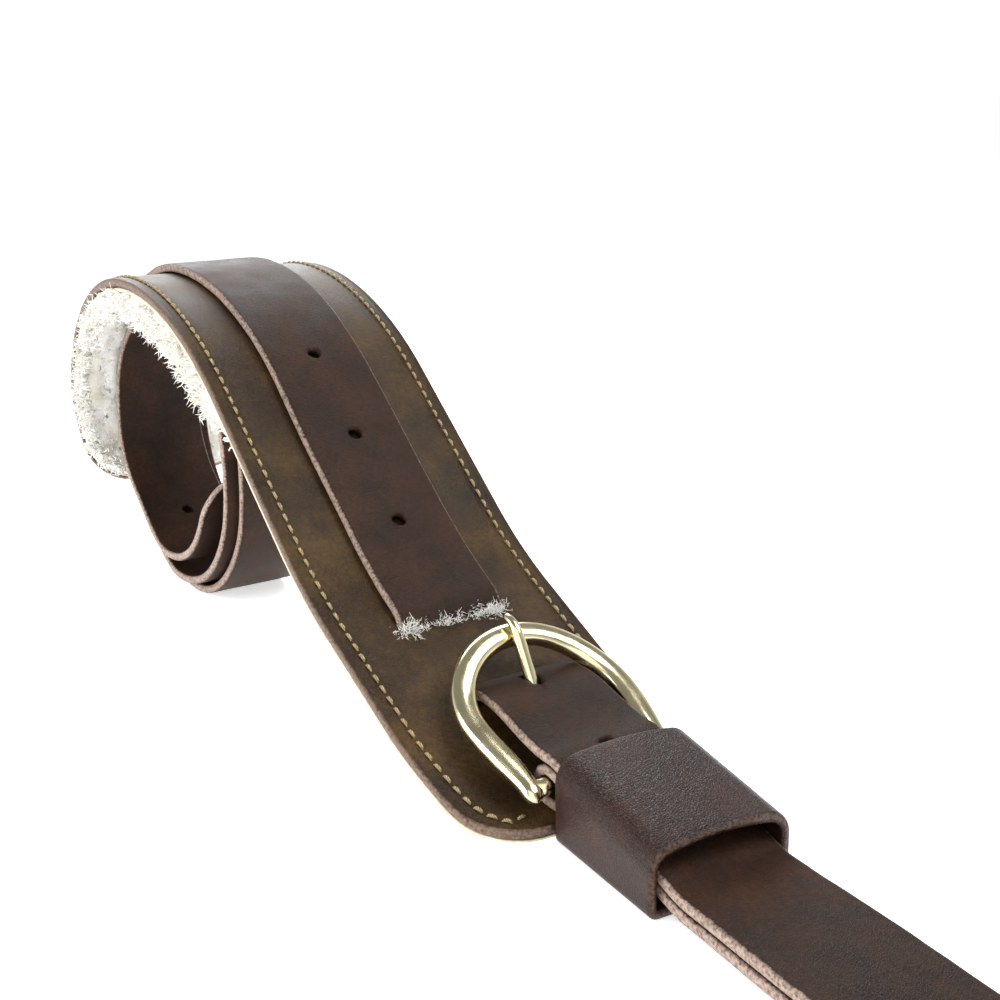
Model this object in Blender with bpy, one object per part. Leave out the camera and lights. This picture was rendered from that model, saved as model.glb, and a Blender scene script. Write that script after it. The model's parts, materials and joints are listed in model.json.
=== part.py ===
"""Sheepskin-lined saddle girth with one buckle, coiled at one end.

Frame: X runs along the girth, Y across it, Z up, and the floor is Z = 0.
The heel bar of the buckle crosses X = 0. The pad and the coil lie on the -X side,
and the two strap ends lie on the +X side. Every piece is finally shifted together, so
that the origin is the bottom centre of the whole girth.
"""

import math

import bmesh
import bpy
import numpy as np
from mathutils import Matrix, Vector

# --- Driving dimensions, metres and degrees ---------------------------------------------

GAP = 0.0003                  # air between two pieces that touch

STRAP_WIDTH = 0.030
STRAP_THICK = 0.0027
HOLE_DIAMETER = 0.0042
HOLE_PITCH = 0.0302
PAD_HOLES = 3
PAD_HOLE_START = 0.0975       # from the heel bar along the strap to the first of them
TONGUE_HOLE_CLEAR = 0.0012    # at each end of the stretched hole

PAD_WIDTH = 0.0665
PAD_THICK = 0.0028
PAD_CORNER = 0.015            # rounding of the pad's corners
PAD_END_TAPER = 0.0035        # each side narrows by this over the taper's length
PAD_TAPER_LENGTH = 0.040
PAD_FRONT = 0.0055            # the pad reaches this far past the heel bar
PAD_FRONT_RISE = 0.0042       # top of the leather at its front end
PAD_FRONT_HEADING = 4.0
PAD_BENDS = (                 # from the front end up to the crest: length, turn in degrees
    (0.010, 8.0),
    (0.012, 14.0),
    (0.051, 0.0),
    (0.030, 14.0),
    (0.052, 0.0),
    (0.075, -40.0),
)
CREST_HALF_LENGTH = 0.0665    # half axes of the rounded crest, at the pad's outer face
CREST_HALF_HEIGHT = 0.054
PAD_END_ANGLE = 208.0         # where the pad ends on the crest's far side, 180 is level

SKIN_THICK = 0.0012
PILE_THICK = 0.0075
PILE_PRESSED = 0.0035         # where the coil lies against it
LINING_INSET = 0.0006         # the lining stops short of the leather's edge

STITCH_INSET = 0.0043
THREAD_DIAMETER = 0.0008
STITCH_STRAP_CLEAR = 0.0016   # the row stops this far from the strap's edge

SLOT_A = 0.0680               # pad leather slots, along the pad from its front end
SLOT_B = 0.0465
SLOT_RAMP = 0.0140            # length over which the strap dives through a slot
SLOT_CLEAR = 0.0004

BILLET_END = 0.150            # the upper strap's tip, past the heel bar
CHAPE_END = 0.262             # the lower strap's tip, past the heel bar
BILLET_CREST = 0.026          # hump of the strap inside the buckle, before the heel bar
BILLET_CREST_RISE = 0.0050    # hump above the strap's height over the heel bar
CHAPE_FLAP = 0.031            # folded-under end of the lower strap
FLAP_LATE = 0.004             # the flap stays high this far, over the pad's end
FLAP_SKIVE = 0.0014           # thickness of the flap's pared end
FLAP_PARED = 0.014            # length over which it is pared
DESCENT = 0.018               # length over which the layers come down from the buckle
END_HOLES = 4                 # punched in the lower strap's free end
END_HOLE_MARGIN = 0.028
TAIL_HOLE_MARGIN = 0.078
CREW_LENGTH = 0.0095          # the fold's slot for the tongue ends this far past the bar
SEAM_NEAR_BAR = 0.013         # thread rows that close the fold, past the heel bar
SEAM_FAR = 0.026
SEAM_LENGTH = 0.024

SIDE_STEP = 0.0032            # the strap shifts sideways under the bridge
SIDE_STEP_START = -0.060
SIDE_STEP_LENGTH = 0.026
RUN_YAW = -4.4                # the two strap ends lead off by this angle
YAW_BEND = 0.012              # length over which the ends take that angle

COIL_LAYER = 0.0033           # from one turn of the coil to the next
COIL_LEAN = 0.0105            # the coil's middle lies this far behind the crest
COIL_LEANT = 310.0            # the angle by which it has moved that far
COIL_CLIMB = (105.0, 60.0)    # after the lowest point: angle where a turn moves in, and over
COIL_FALL = (104.0, 48.0)     # after the pad's end: angle where it moves out again, and over
TAIL_LOOSE = (905.0, 70.0)    # angle where the tail leaves the turn below it, and over
COIL_DRIFT = 0.0038           # each turn lies this much nearer the -Y side
TAIL_LIFT = 0.0052            # the loose tail stands clear of the turn below it
COIL_SETTLED = 252.0          # the angle by which the first turn has settled on the floor
COIL_END_ANGLE = 1072.0       # the tail's tip, counted from level on the +X side

BAR_DIAMETER = 0.0042
RIM_WIDTH = 0.0062            # in the frame's plane
RIM_HEIGHT = 0.0048           # across it
FRAME_PLAY = 0.0020           # the rails stand this much wider apart than the strap
FRAME_SWELL = 0.0022          # extra half width at the widest place
FRAME_LENGTH = 0.0425         # heel bar to the middle of the front rim
FRAME_BOW = 0.0036            # the front rim arches up by this
FRAME_TILT = 24.0

TONGUE_DIAMETER = 0.0031
TONGUE_EYE_WALL = 0.0013
TONGUE_BENDS = (              # from the heel bar: length, turn in degrees
    (0.0175, 0.0),
    (0.0090, 46.0),
    (0.0130, 0.0),
    (0.0070, -70.0),
)
TONGUE_HEADING = 15.0
TONGUE_STEP = 0.0016
TONGUE_TAPER = 0.35           # the tip is this share thinner
TONGUE_EYE_LENGTH = 1.3       # the eye's length along the bar, in tongue diameters

KEEPER_OFF_PAD = 0.0032       # from the pad's front end
KEEPER_LENGTH = 0.0360
KEEPER_WALL = 0.0022
KEEPER_CLEAR = 0.0006
KEEPER_CROWN = 0.0018         # the top wall arches by this
KEEPER_TOP_AT = 0.62          # share of its length where its low end's height is taken
KEEPER_FOOT = 0.0026          # outer radius of its two lower corners
KEEPER_ROUND = 0.0050         # outer corner radius
KEEPER_TRAVEL = 0.080
KEEPER_SEAM = 0.030           # thread of the band's butt join, on its bottom wall

# --- Sizes that follow ------------------------------------------------------------------

LINING_THICK = SKIN_THICK + PILE_THICK + 2 * GAP
LAYER_STEP = STRAP_THICK + GAP
FOLD_INNER = BAR_DIAMETER / 2 + GAP
FOLD_MID = FOLD_INNER + STRAP_THICK / 2
FOLD_OUTER = FOLD_INNER + STRAP_THICK
ON_PAD = GAP + STRAP_THICK / 2
EYE_OUTER = BAR_DIAMETER / 2 + GAP + TONGUE_EYE_WALL
UNDER_BRIDGE = -(PAD_THICK + GAP + SLOT_CLEAR + STRAP_THICK / 2)
FLOOR_LAYER = KEEPER_WALL + GAP + STRAP_THICK / 2
KEEPER_START = PAD_FRONT + KEEPER_OFF_PAD
FRAME_INSIDE = STRAP_WIDTH + FRAME_PLAY
WRAP = STRAP_THICK + PAD_THICK + SKIN_THICK + PILE_PRESSED + 5 * GAP
STEP = 0.004                  # spacing of sections along flat runs
FINE_STEP = 0.002             # and where the straps bend most
PASSAGE_STEP = 0.0021         # and along the cutter for the bridge
TIP_START = 0.35              # angle at which a round tip's first section stands
COIL_INSIDE = 200             # the coil's points, one per degree, past this lie inside

LEATHER = ("dark_brown_leather", (0.045, 0.024, 0.015), 0.42, 0.0)
PAD_LEATHER = ("olive_brown_leather", (0.055, 0.034, 0.018), 0.45, 0.0)
SKIN = ("sheepskin_hide", (0.72, 0.66, 0.52), 0.8, 0.0)
WOOL = ("cream_wool", (0.86, 0.84, 0.78), 0.95, 0.0)
THREAD = ("beige_thread", (0.40, 0.30, 0.16), 0.7, 0.0)
PLATE = ("pale_nickel_plate", (0.80, 0.76, 0.62), 0.18, 1.0)


# --- Curves -----------------------------------------------------------------------------

def smooth(t):
    """Ease from 0 to 1 as t goes from 0 to 1."""
    t = np.clip(t, 0.0, 1.0)
    return t * t * (3.0 - 2.0 * t)


def bend_curve(start, heading, bends, step=0.001):
    """Points and headings along straight and round stretches; heading 0 points to -X."""
    x, z = start
    angle = math.radians(heading)
    rows = [(x, z, angle)]
    for length, turn in bends:
        count = max(2, round(length / step))
        part = length / count
        change = math.radians(turn) / count
        for _ in range(count):
            middle = angle + change / 2
            x -= part * math.cos(middle)
            z += part * math.sin(middle)
            angle += change
            rows.append((x, z, angle))
    return np.array(rows)


def lateral(x):
    """Sideways place of the strap's centre line at x."""
    shift = SIDE_STEP * smooth((x - SIDE_STEP_START) / SIDE_STEP_LENGTH)
    past = np.maximum(x, 0.0)
    eased = np.where(past < YAW_BEND, past ** 2 / (2 * YAW_BEND), past - YAW_BEND / 2)
    return shift + math.tan(math.radians(RUN_YAW)) * eased


def arc_length(points):
    """Length along a polyline, starting at 0."""
    parts = np.hypot(*np.diff(points[:, :2], axis=0).T)
    return np.concatenate([[0.0], np.cumsum(parts)])


def headings(points):
    """Heading at each point of a curve in the XZ plane; 0 points to -X."""
    rates = np.gradient(points, axis=0)
    return np.unwrap(np.arctan2(rates[:, 1], -rates[:, 0]))


def resample(points, places):
    """Points and headings of a dense curve at the given lengths."""
    along = arc_length(points)
    x = np.interp(places, along, points[:, 0])
    z = np.interp(places, along, points[:, 1])
    angle = np.interp(places, along, headings(points[:, :2]))
    return np.stack([x, z, angle], axis=1)


def offset(rows, distance):
    """Move each row of x, z, heading along its outward normal."""
    x = rows[:, 0] + np.sin(rows[:, 2]) * distance
    z = rows[:, 1] + np.cos(rows[:, 2]) * distance
    return np.stack([x, z], axis=1)


def pad_top():
    """Outer face of the pad leather, from its front end to its far end."""
    front = bend_curve((PAD_FRONT, PAD_FRONT_RISE), PAD_FRONT_HEADING, PAD_BENDS)
    turn = PAD_FRONT_HEADING + sum(bend[1] for bend in PAD_BENDS)
    front[:, 2] -= math.radians(turn) * smooth(np.linspace(0.0, 1.0, len(front)))
    crest_x, crest_z = front[-1, :2]
    angles = np.radians(np.arange(91.0, PAD_END_ANGLE + 0.5, 1.0))
    arc_x = crest_x + CREST_HALF_LENGTH * np.cos(angles)
    arc_z = crest_z + CREST_HALF_HEIGHT * (np.sin(angles) - 1.0)
    points = np.concatenate([front[:, :2], np.stack([arc_x, arc_z], axis=1)])
    return np.column_stack([points, headings(points)]), (crest_x, crest_z - CREST_HALF_HEIGHT)


def bar_height():
    """Height of the heel bar, whose fold of strap rests on the pad leather."""
    reach = FOLD_OUTER + GAP
    under = PAD_PATH[np.abs(PAD_PATH[:, 0]) < reach]
    return float(np.max(under[:, 1] + np.sqrt(reach ** 2 - under[:, 0] ** 2)))


def lower_height(x):
    """Middle of the lower strap's main layer to the right of the heel bar."""
    high = BAR_Z + FOLD_MID
    middle = FLOOR_LAYER + LAYER_STEP
    height = high + (middle - high) * smooth(x / DESCENT)
    height += (FLOOR_LAYER - middle) * smooth((x - CHAPE_FLAP - 0.002) / DESCENT)
    floor = STRAP_THICK / 2 - FLOOR_LAYER
    return height + floor * smooth((x - SLIDE_END - 0.004) / DESCENT)


def upper_run():
    """Middle of the upper strap to the right of the heel bar, one layer above the lower."""
    right = np.arange(CHAPE_END, -0.0005, -0.001)
    lower = np.stack([right, lower_height(right)], axis=1)
    rows = np.column_stack([lower, headings(lower)])
    rows[-1, 2] = 0.0
    upper = offset(rows, LAYER_STEP)
    return upper[upper[:, 0] <= BILLET_END]


def flap_height(x):
    """Middle of the folded-under end."""
    high = BAR_Z - FOLD_MID
    late = FLAP_LATE
    return high + (FLOOR_LAYER - high) * smooth((x - late) / (DESCENT - late))


def coil_inset(angle):
    """How far inside the outermost ellipse the strap's middle lies, by angle in degrees."""
    floor_inset = CREST_HALF_HEIGHT + ON_PAD - (COIL_CENTRE[1] - STRAP_THICK / 2)
    outer = floor_inset * smooth((angle - PAD_END_ANGLE) / (COIL_SETTLED - PAD_END_ANGLE))
    turns = np.maximum(angle - 270.0, 0.0) / 360.0
    squeeze = WRAP - floor_inset - COIL_LAYER / 4
    around = np.mod(angle - 270.0, 360.0)
    rise = smooth((around - COIL_CLIMB[0]) / COIL_CLIMB[1])
    fall = smooth((around - (PAD_END_ANGLE + COIL_FALL[0])) / COIL_FALL[1])
    covered = np.where(angle > 270.0, rise - fall, 0.0)
    loose = TAIL_LIFT * smooth((angle - TAIL_LOOSE[0]) / TAIL_LOOSE[1])
    return outer + COIL_LAYER * turns + squeeze * covered + loose


def coil_curve():
    """Middle of the strap from the crest round the outside of the pad and into the coil."""
    angles = np.arange(91.0, COIL_END_ANGLE + 0.5, 1.0)
    inset = coil_inset(angles)
    turn = np.radians(angles)
    lean = COIL_LEAN * smooth((angles - PAD_END_ANGLE) / (COIL_LEANT - PAD_END_ANGLE))
    half_length = CREST_HALF_LENGTH + ON_PAD - inset - lean
    x = COIL_CENTRE[0] - lean + half_length * np.cos(turn)
    z = COIL_CENTRE[1] + (CREST_HALF_HEIGHT + ON_PAD - inset) * np.sin(turn)
    side = -COIL_DRIFT * np.maximum(angles - 270.0, 0.0) / 360.0
    return np.stack([x, z, side], axis=1)


def pad_offset(along):
    """Distance of the strap's middle above the pad's outer face, by length along the pad."""
    up = smooth((along - SLOT_A + SLOT_RAMP / 2) / SLOT_RAMP)
    return UNDER_BRIDGE + (ON_PAD - UNDER_BRIDGE) * up


def with_side(points):
    """Points x, z of a strap's middle, with its sideways place added."""
    return np.column_stack([points, lateral(points[:, 0])])


def side_at(path, places):
    """Sideways place of a strap at lengths along it."""
    return np.interp(places, arc_length(path), path[:, 2])


def upper_curve():
    """Middle of the upper strap, from its tip on the +X side to its tip in the coil."""
    run = upper_run()
    along = arc_length(PAD_PATH)
    crest = along[np.argmax(PAD_PATH[:, 1])]
    inside = (along > SLOT_B + SLOT_RAMP / 2) & (along <= crest)
    rows = PAD_PATH[inside]
    lift = pad_offset(along[inside])
    carried = np.stack([rows[:, 0] + np.sin(rows[:, 2]) * lift,
                        rows[:, 1] + np.cos(rows[:, 2]) * lift], axis=1)
    hump = hump_curve(run[-1], carried[0], rows[0, 2])
    return np.concatenate([with_side(np.concatenate([run, hump, carried])), coil_curve()])


def hump_curve(start, end, heading):
    """The strap's hump between the heel bar and slot B, as two eased stretches."""
    top = (-BILLET_CREST, start[1] + BILLET_CREST_RISE)
    first = hermite(start, top, 0.0, 0.0)
    second = hermite(top, end, 0.0, math.tan(heading))
    return np.concatenate([first[1:], second[1:-1]])


def hermite(start, end, slope_in, slope_out, count=24):
    """Cubic between two points, with slopes given as rise per unit towards -X."""
    t = np.linspace(0.0, 1.0, count)
    span = start[0] - end[0]
    rise_in, rise_out = slope_in * span, slope_out * span
    z = (start[1] * (2 * t ** 3 - 3 * t ** 2 + 1) + rise_in * (t ** 3 - 2 * t ** 2 + t)
         + end[1] * (3 * t ** 2 - 2 * t ** 3) + rise_out * (t ** 3 - t ** 2))
    return np.stack([start[0] - span * t, z], axis=1)


def lower_curve():
    """Middle of the lower strap: its free tip, the main layer, the fold and the flap."""
    right = np.arange(CHAPE_END, 0.0, -0.001)
    main = np.stack([right, lower_height(right)], axis=1)
    turn = np.radians(np.arange(90.0, 271.0, 7.5))
    fold = np.stack([FOLD_MID * np.cos(turn), BAR_Z + FOLD_MID * np.sin(turn)], axis=1)
    back = np.arange(0.001, CHAPE_FLAP, 0.001)
    flap = np.stack([back, flap_height(back)], axis=1)
    return with_side(np.concatenate([main, fold, flap]))


# --- Solids -----------------------------------------------------------------------------

def make_material(look):
    """Principled material with the given colour, roughness and metallic value."""
    name, colour, roughness, metallic = look
    material = bpy.data.materials.get(name) or bpy.data.materials.new(name)
    material.use_nodes = True
    shader = material.node_tree.nodes["Principled BSDF"]
    shader.inputs["Base Color"].default_value = (*colour, 1.0)
    shader.inputs["Roughness"].default_value = roughness
    shader.inputs["Metallic"].default_value = metallic
    return material


def add_object(name, vertices, faces, look):
    """Closed mesh object, with its faces turned outwards."""
    mesh = bpy.data.meshes.new(name)
    mesh.from_pydata([tuple(v) for v in vertices], [], faces)
    work = bmesh.new()
    work.from_mesh(mesh)
    bmesh.ops.recalc_face_normals(work, faces=work.faces)
    work.to_mesh(mesh)
    work.free()
    item = bpy.data.objects.new(name, mesh)
    bpy.context.scene.collection.objects.link(item)
    if look:
        mesh.materials.append(make_material(look))
    return item


def loft(name, rings, look):
    """Skin over equal rings of points, with filled ends."""
    count, size = len(rings), len(rings[0])
    faces = []
    for i in range(count - 1):
        low, high = i * size, (i + 1) * size
        for j in range(size):
            k = (j + 1) % size
            faces.append((low + j, low + k, high + k, high + j))
    faces.append(tuple(reversed(range(size))))
    faces.append(tuple(range((count - 1) * size, count * size)))
    return add_object(name, np.concatenate(rings), faces, look)


def band(name, rows, middle, half_width, low, high, look):
    """Flat band along rows of x, z, heading, between two offsets from that line."""
    bottom = offset(rows, low)
    top = offset(rows, high)
    rings = []
    for i in range(len(rows)):
        left, right = middle[i] - half_width[i], middle[i] + half_width[i]
        rings.append(np.array([
            (bottom[i, 0], left, bottom[i, 1]), (bottom[i, 0], right, bottom[i, 1]),
            (top[i, 0], right, top[i, 1]), (top[i, 0], left, top[i, 1])]))
    return loft(name, rings, look)


def tip_places(length, radius, count=6):
    """Places along a band that has a round tip of the given radius at each end."""
    turn = np.linspace(TIP_START, math.pi / 2, count)
    start = radius * (1.0 - np.cos(turn))
    body = np.arange(start[-1] + STEP, length - start[-1], STEP)
    return np.concatenate([start, body, length - start[::-1]])


def tip_widths(places, half, radius):
    """Half width of a band with round tips."""
    ends = np.minimum(places, places[-1] + places[0] - places)
    inside = np.clip(radius - ends, 0.0, radius)
    return half - radius + np.sqrt(radius ** 2 - inside ** 2)


def cylinder(name, centre, axis, radius, length, look, sides=20):
    """Round bar about a point."""
    turn = Vector((0.0, 0.0, 1.0)).rotation_difference(Vector(axis)).to_matrix().to_4x4()
    work = bmesh.new()
    bmesh.ops.create_cone(work, cap_ends=True, segments=sides, radius1=radius,
                          radius2=radius, depth=length,
                          matrix=Matrix.Translation(Vector(centre)) @ turn)
    mesh = bpy.data.meshes.new(name)
    work.to_mesh(mesh)
    work.free()
    item = bpy.data.objects.new(name, mesh)
    bpy.context.scene.collection.objects.link(item)
    if look:
        mesh.materials.append(make_material(look))
    return item


def combine(target, tool, operation):
    """Apply a Boolean modifier of one object to another, and hide the tool."""
    modifier = target.modifiers.new(tool.name, "BOOLEAN")
    modifier.operation = operation
    modifier.solver = "EXACT"
    modifier.object = tool
    tool.hide_render = True
    tool.display_type = "WIRE"


def set_origin(item, point):
    """Move an object's origin to a point without moving its surface."""
    item.data.transform(Matrix.Translation(-Vector(point)))
    item.location = point


# --- Pad --------------------------------------------------------------------------------

def pad_rows():
    """Sections along the pad, closer together at its rounded ends."""
    length = arc_length(PAD_PATH)[-1]
    turn = np.linspace(0.25, math.pi / 2, 7)
    start = PAD_CORNER * (1.0 - np.cos(turn))
    body = np.arange(start[-1] + STEP, length - start[-1], STEP * 1.25)
    places = np.concatenate([[0.0], start, body, length - start[::-1], [length]])
    return places, resample(PAD_PATH[:, :2], places)


def pad_half_width(places, inset=0.0):
    """Half width of the pad: rounded corners and a slight taper at both ends."""
    length = places[-1]
    ends = np.minimum(places, length - places)
    inside = np.clip(PAD_CORNER - ends, 0.0, PAD_CORNER)
    corner = PAD_CORNER - np.sqrt(PAD_CORNER ** 2 - inside ** 2)
    taper = PAD_END_TAPER * (1.0 - smooth(ends / PAD_TAPER_LENGTH))
    return PAD_WIDTH / 2 - corner - taper - inset


def lining_layers(rows):
    """Offsets of the skin's and the pile's faces.

    The floor flattens the pile at the front, and the coil presses it where they touch.
    """
    room = rows[:, 1] / np.maximum(np.cos(rows[:, 2]), 0.05) - PAD_THICK - GAP
    rising = np.arange(len(rows)) < np.argmax(rows[:, 1])
    depth = np.where(rising, np.minimum(room, LINING_THICK), LINING_THICK)
    inner = coil_curve()[COIL_INSIDE:, :2]
    apart = np.linalg.norm(rows[:, None, :2] - inner[None], axis=2).min(axis=1)
    depth = np.minimum(depth, apart - STRAP_THICK / 2 - PAD_THICK - 3 * GAP)
    skin = np.minimum(SKIN_THICK, depth * 0.4)
    top = -(PAD_THICK + GAP)
    return top - skin, np.full(len(rows), top), top - depth, top - skin - GAP


def strap_passage(name, headroom):
    """Cutter for the strap's way through the pad's slots and under the bridge."""
    along = arc_length(UPPER_PATH)
    bar = place_at_bar(UPPER_PATH)
    places = np.arange(bar + BILLET_CREST, bar + SLOT_A + SLOT_RAMP, PASSAGE_STEP)
    rows = resample(UPPER_PATH, places[places < along[-1]])
    half = np.full(len(rows), STRAP_WIDTH / 2 + SLOT_CLEAR)
    thick = STRAP_THICK / 2 + SLOT_CLEAR
    return band(name, rows, lateral(rows[:, 0]), half, -thick, thick + headroom, None)


def make_pad():
    """Leather, skin and wool pile, with the strap's passage cut through them."""
    places, rows = pad_rows()
    half = pad_half_width(places)
    middle = np.zeros(len(rows))
    leather = band("pad_leather", rows, middle, half, -PAD_THICK, 0.0, PAD_LEATHER)
    inner = pad_half_width(places, LINING_INSET)
    skin_low, skin_high, pile_low, pile_high = lining_layers(rows)
    skin = band("sheepskin_skin", rows, middle, inner, skin_low, skin_high, SKIN)
    pile = band("wool_pile", rows, middle, inner, pile_low, pile_high, WOOL)
    combine(leather, strap_passage("leather_passage", 0.0), "DIFFERENCE")
    pocket = strap_passage("lining_passage", PAD_THICK)
    combine(skin, pocket, "DIFFERENCE")
    combine(pile, pocket, "DIFFERENCE")


def make_stitching():
    """A thread row along each long edge, turned in at the pad's ends as far as the strap."""
    places, rows = pad_rows()
    half = pad_half_width(places, STITCH_INSET)
    body = (places > STITCH_INSET) & (places < places[-1] - STITCH_INSET)
    line = resample(PAD_PATH[:, :2], places[body])
    top = offset(line, GAP + THREAD_DIAMETER / 2)
    clear = STRAP_WIDTH / 2 + STITCH_STRAP_CLEAR
    for name, side in (("stitching_near", -1.0), ("stitching_far", 1.0)):
        y = side * half[body]
        row = np.stack([top[:, 0], y, top[:, 1]], axis=1)
        turned = []
        for end in (0, -1):
            middle = float(lateral(np.array(top[end, 0])))
            corner = (top[end, 0], middle + side * clear, top[end, 1])
            turned.append(np.array([corner]))
        points = np.concatenate([turned[0], row, turned[1]])
        normals = normal_rows(np.concatenate([line[:1], line, line[-1:]]))
        cord(name, points, normals, THREAD_DIAMETER / 2, THREAD)


def normal_rows(rows):
    """Outward normals of the pad at rows of x, z, heading."""
    return np.stack([np.sin(rows[:, 2]), np.zeros(len(rows)), np.cos(rows[:, 2])], axis=1)


def cord(name, points, normals, radius, look, sides=6):
    """Round cord through points that lie on a surface with the given normals."""
    ahead = np.gradient(points, axis=0)
    ahead /= np.linalg.norm(ahead, axis=1)[:, None]
    side = np.cross(ahead, normals)
    side /= np.linalg.norm(side, axis=1)[:, None]
    turn = np.arange(sides) * math.tau / sides
    rings = []
    for point, normal, across in zip(points, normals, side):
        ring = point + radius * (np.outer(np.cos(turn), across) + np.outer(np.sin(turn), normal))
        rings.append(ring)
    return loft(name, rings, look)


# --- Straps -----------------------------------------------------------------------------

def hole_cutter(name, path, place, length):
    """Cutter for one punched hole; a longer one is stretched along the strap.

    It stops between two turns of the coil, except a stretched one, which goes right through
    the strap's bend.
    """
    x, z, heading = resample(path, np.array([place]))[0]
    normal = np.array((math.sin(heading), 0.0, math.cos(heading)))
    forward = np.array((-math.cos(heading), 0.0, math.sin(heading)))
    across = np.array((0.0, 1.0, 0.0))
    centre = np.array((x, float(side_at(path, place)), z))
    turn = np.arange(16) * math.tau / 16
    stretch = np.where(np.cos(turn) > 0.0, 1.0, -1.0) * (length - HOLE_DIAMETER) / 2
    outline = (np.outer(np.cos(turn) * HOLE_DIAMETER / 2 + stretch, forward)
               + np.outer(np.sin(turn) * HOLE_DIAMETER / 2, across))
    reach = STRAP_THICK / 2 + (COIL_LAYER - STRAP_THICK) / 2
    if length > HOLE_DIAMETER:
        reach = STRAP_THICK
    rings = [centre + outline + normal * lift for lift in (-reach, reach)]
    return loft(name, rings, None)


def punch(item, path, places):
    """Punch round holes at lengths along a strap's path."""
    for number, (place, length) in enumerate(places):
        cutter = hole_cutter(f"{item.name}_punch_{number}", path, place, length)
        combine(item, cutter, "DIFFERENCE")


def make_upper_strap():
    """The long strap: tip, keeper, buckle, slots, crest, coil and tail tip."""
    length = arc_length(UPPER_PATH)[-1]
    places = upper_places(length)
    rows = resample(UPPER_PATH, places)
    half = tip_widths(places, STRAP_WIDTH / 2, STRAP_WIDTH / 2)
    item = band("girth_strap", rows, side_at(UPPER_PATH, places), half,
                -STRAP_THICK / 2, STRAP_THICK / 2, LEATHER)
    crossing, stretched = tongue_crossing()
    holes = [(crossing - HOLE_PITCH, HOLE_DIAMETER), (crossing, stretched)]
    start = place_at_bar(UPPER_PATH) + PAD_HOLE_START
    holes += [(start + number * HOLE_PITCH, HOLE_DIAMETER) for number in range(PAD_HOLES)]
    holes.append((length - TAIL_HOLE_MARGIN, HOLE_DIAMETER))
    punch(item, UPPER_PATH, holes)


def tongue_line():
    """Middle of the tongue, from its eye to its tip."""
    start = (-(EYE_OUTER - TONGUE_EYE_WALL * 0.8), BAR_Z + TONGUE_DIAMETER * 0.35)
    return bend_curve(start, TONGUE_HEADING, TONGUE_BENDS, TONGUE_STEP)


def tongue_crossing():
    """Where the tongue passes the strap's middle, and how long a hole it needs there."""
    tongue = tongue_line()
    along = arc_length(UPPER_PATH)
    span = (UPPER_PATH[:, 0] < 0.0) & (along < place_at_bar(UPPER_PATH) + 2 * HOLE_PITCH)
    places = along[span]
    rows = resample(UPPER_PATH, places)
    apart = np.hypot(rows[:, None, 0] - tongue[None, :, 0], rows[:, None, 1] - tongue[None, :, 1])
    row, point = np.unravel_index(np.argmin(apart), apart.shape)
    steep = abs(tongue[point, 2] - rows[row, 2])
    length = TONGUE_DIAMETER / math.sin(steep) + STRAP_THICK / math.tan(steep)
    return places[row], length + 2 * TONGUE_HOLE_CLEAR


def upper_places(length):
    """Sections along the upper strap, close together where it bends most."""
    places = tip_places(length, STRAP_WIDTH / 2)
    bar = place_at_bar(UPPER_PATH)
    fine = np.arange(bar - 0.030, bar + 0.085, FINE_STEP)
    outside = (places < fine[0] - 0.001) | (places > fine[-1] + 0.001)
    return np.concatenate([places[places < fine[0] - 0.001], fine,
                           places[outside & (places > fine[-1])]])


def place_at_bar(path):
    """Length along a strap's path, from its +X tip to the heel bar."""
    return arc_length(path)[place_index(path)]


def make_lower_strap():
    """The buckle's own strap, folded round the heel bar."""
    path = lower_curve()
    length = arc_length(path)[-1]
    radius = STRAP_WIDTH / 2
    start = radius * (1.0 - np.cos(np.linspace(TIP_START, math.pi / 2, 6)))
    bar = place_at_bar(path)
    coarse = np.arange(start[-1] + STEP, bar - 0.040, STEP)
    fine = np.arange(bar - 0.040, length, FINE_STEP)
    places = np.concatenate([start, coarse, fine, [length]])
    rows = resample(path, places)
    inside = np.clip(radius - places, 0.0, radius)
    half = np.sqrt(radius ** 2 - inside ** 2)
    pared = smooth((places - (length - FLAP_PARED)) / FLAP_PARED)
    low = np.full(len(rows), -STRAP_THICK / 2)
    high = STRAP_THICK / 2 - (STRAP_THICK - FLAP_SKIVE) * pared
    item = band("buckle_strap", rows, side_at(path, places), half, low, high, LEATHER)
    crew = box_object("crew_slot", (-FOLD_OUTER - 0.001, CREW_LENGTH),
                      (-CREW_HALF + SIDE_STEP, CREW_HALF + SIDE_STEP),
                      (BAR_Z - FOLD_OUTER - 0.002, BAR_Z + FOLD_OUTER + 0.002))
    combine(item, crew, "DIFFERENCE")
    holes = [(END_HOLE_MARGIN + n * HOLE_PITCH, HOLE_DIAMETER) for n in range(END_HOLES)]
    punch(item, path, holes)
    stitch_chape(item, path)


def make_seam(item, name, centre, way, length):
    """A thread row laid in its own groove in a piece's face."""
    groove = cylinder(f"{name}_groove", centre, way, THREAD_DIAMETER / 2 + GAP,
                      length + 2 * GAP, None, 12)
    combine(item, groove, "DIFFERENCE")
    return cylinder(name, centre, way, THREAD_DIAMETER / 2, length, THREAD, 8)


def stitch_chape(item, path):
    """Two thread rows across the buckle's strap, which close the fold round the bar."""
    along = arc_length(path)
    for name, x in (("chape_stitching_bar", SEAM_NEAR_BAR), ("chape_stitching_end", SEAM_FAR)):
        place = np.interp(-x, -path[: place_index(path), 0], along[: place_index(path)])
        row = resample(path, np.array([place]))
        spot = offset(row, STRAP_THICK / 2 - THREAD_DIAMETER / 2)[0]
        centre = (spot[0], float(lateral(spot[0])), spot[1])
        make_seam(item, name, centre, (0.0, 1.0, 0.0), SEAM_LENGTH)


def place_index(path):
    """Number of the path's first point at or past the heel bar."""
    return int(np.argmax(path[:, 0] <= 0.0))


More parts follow.
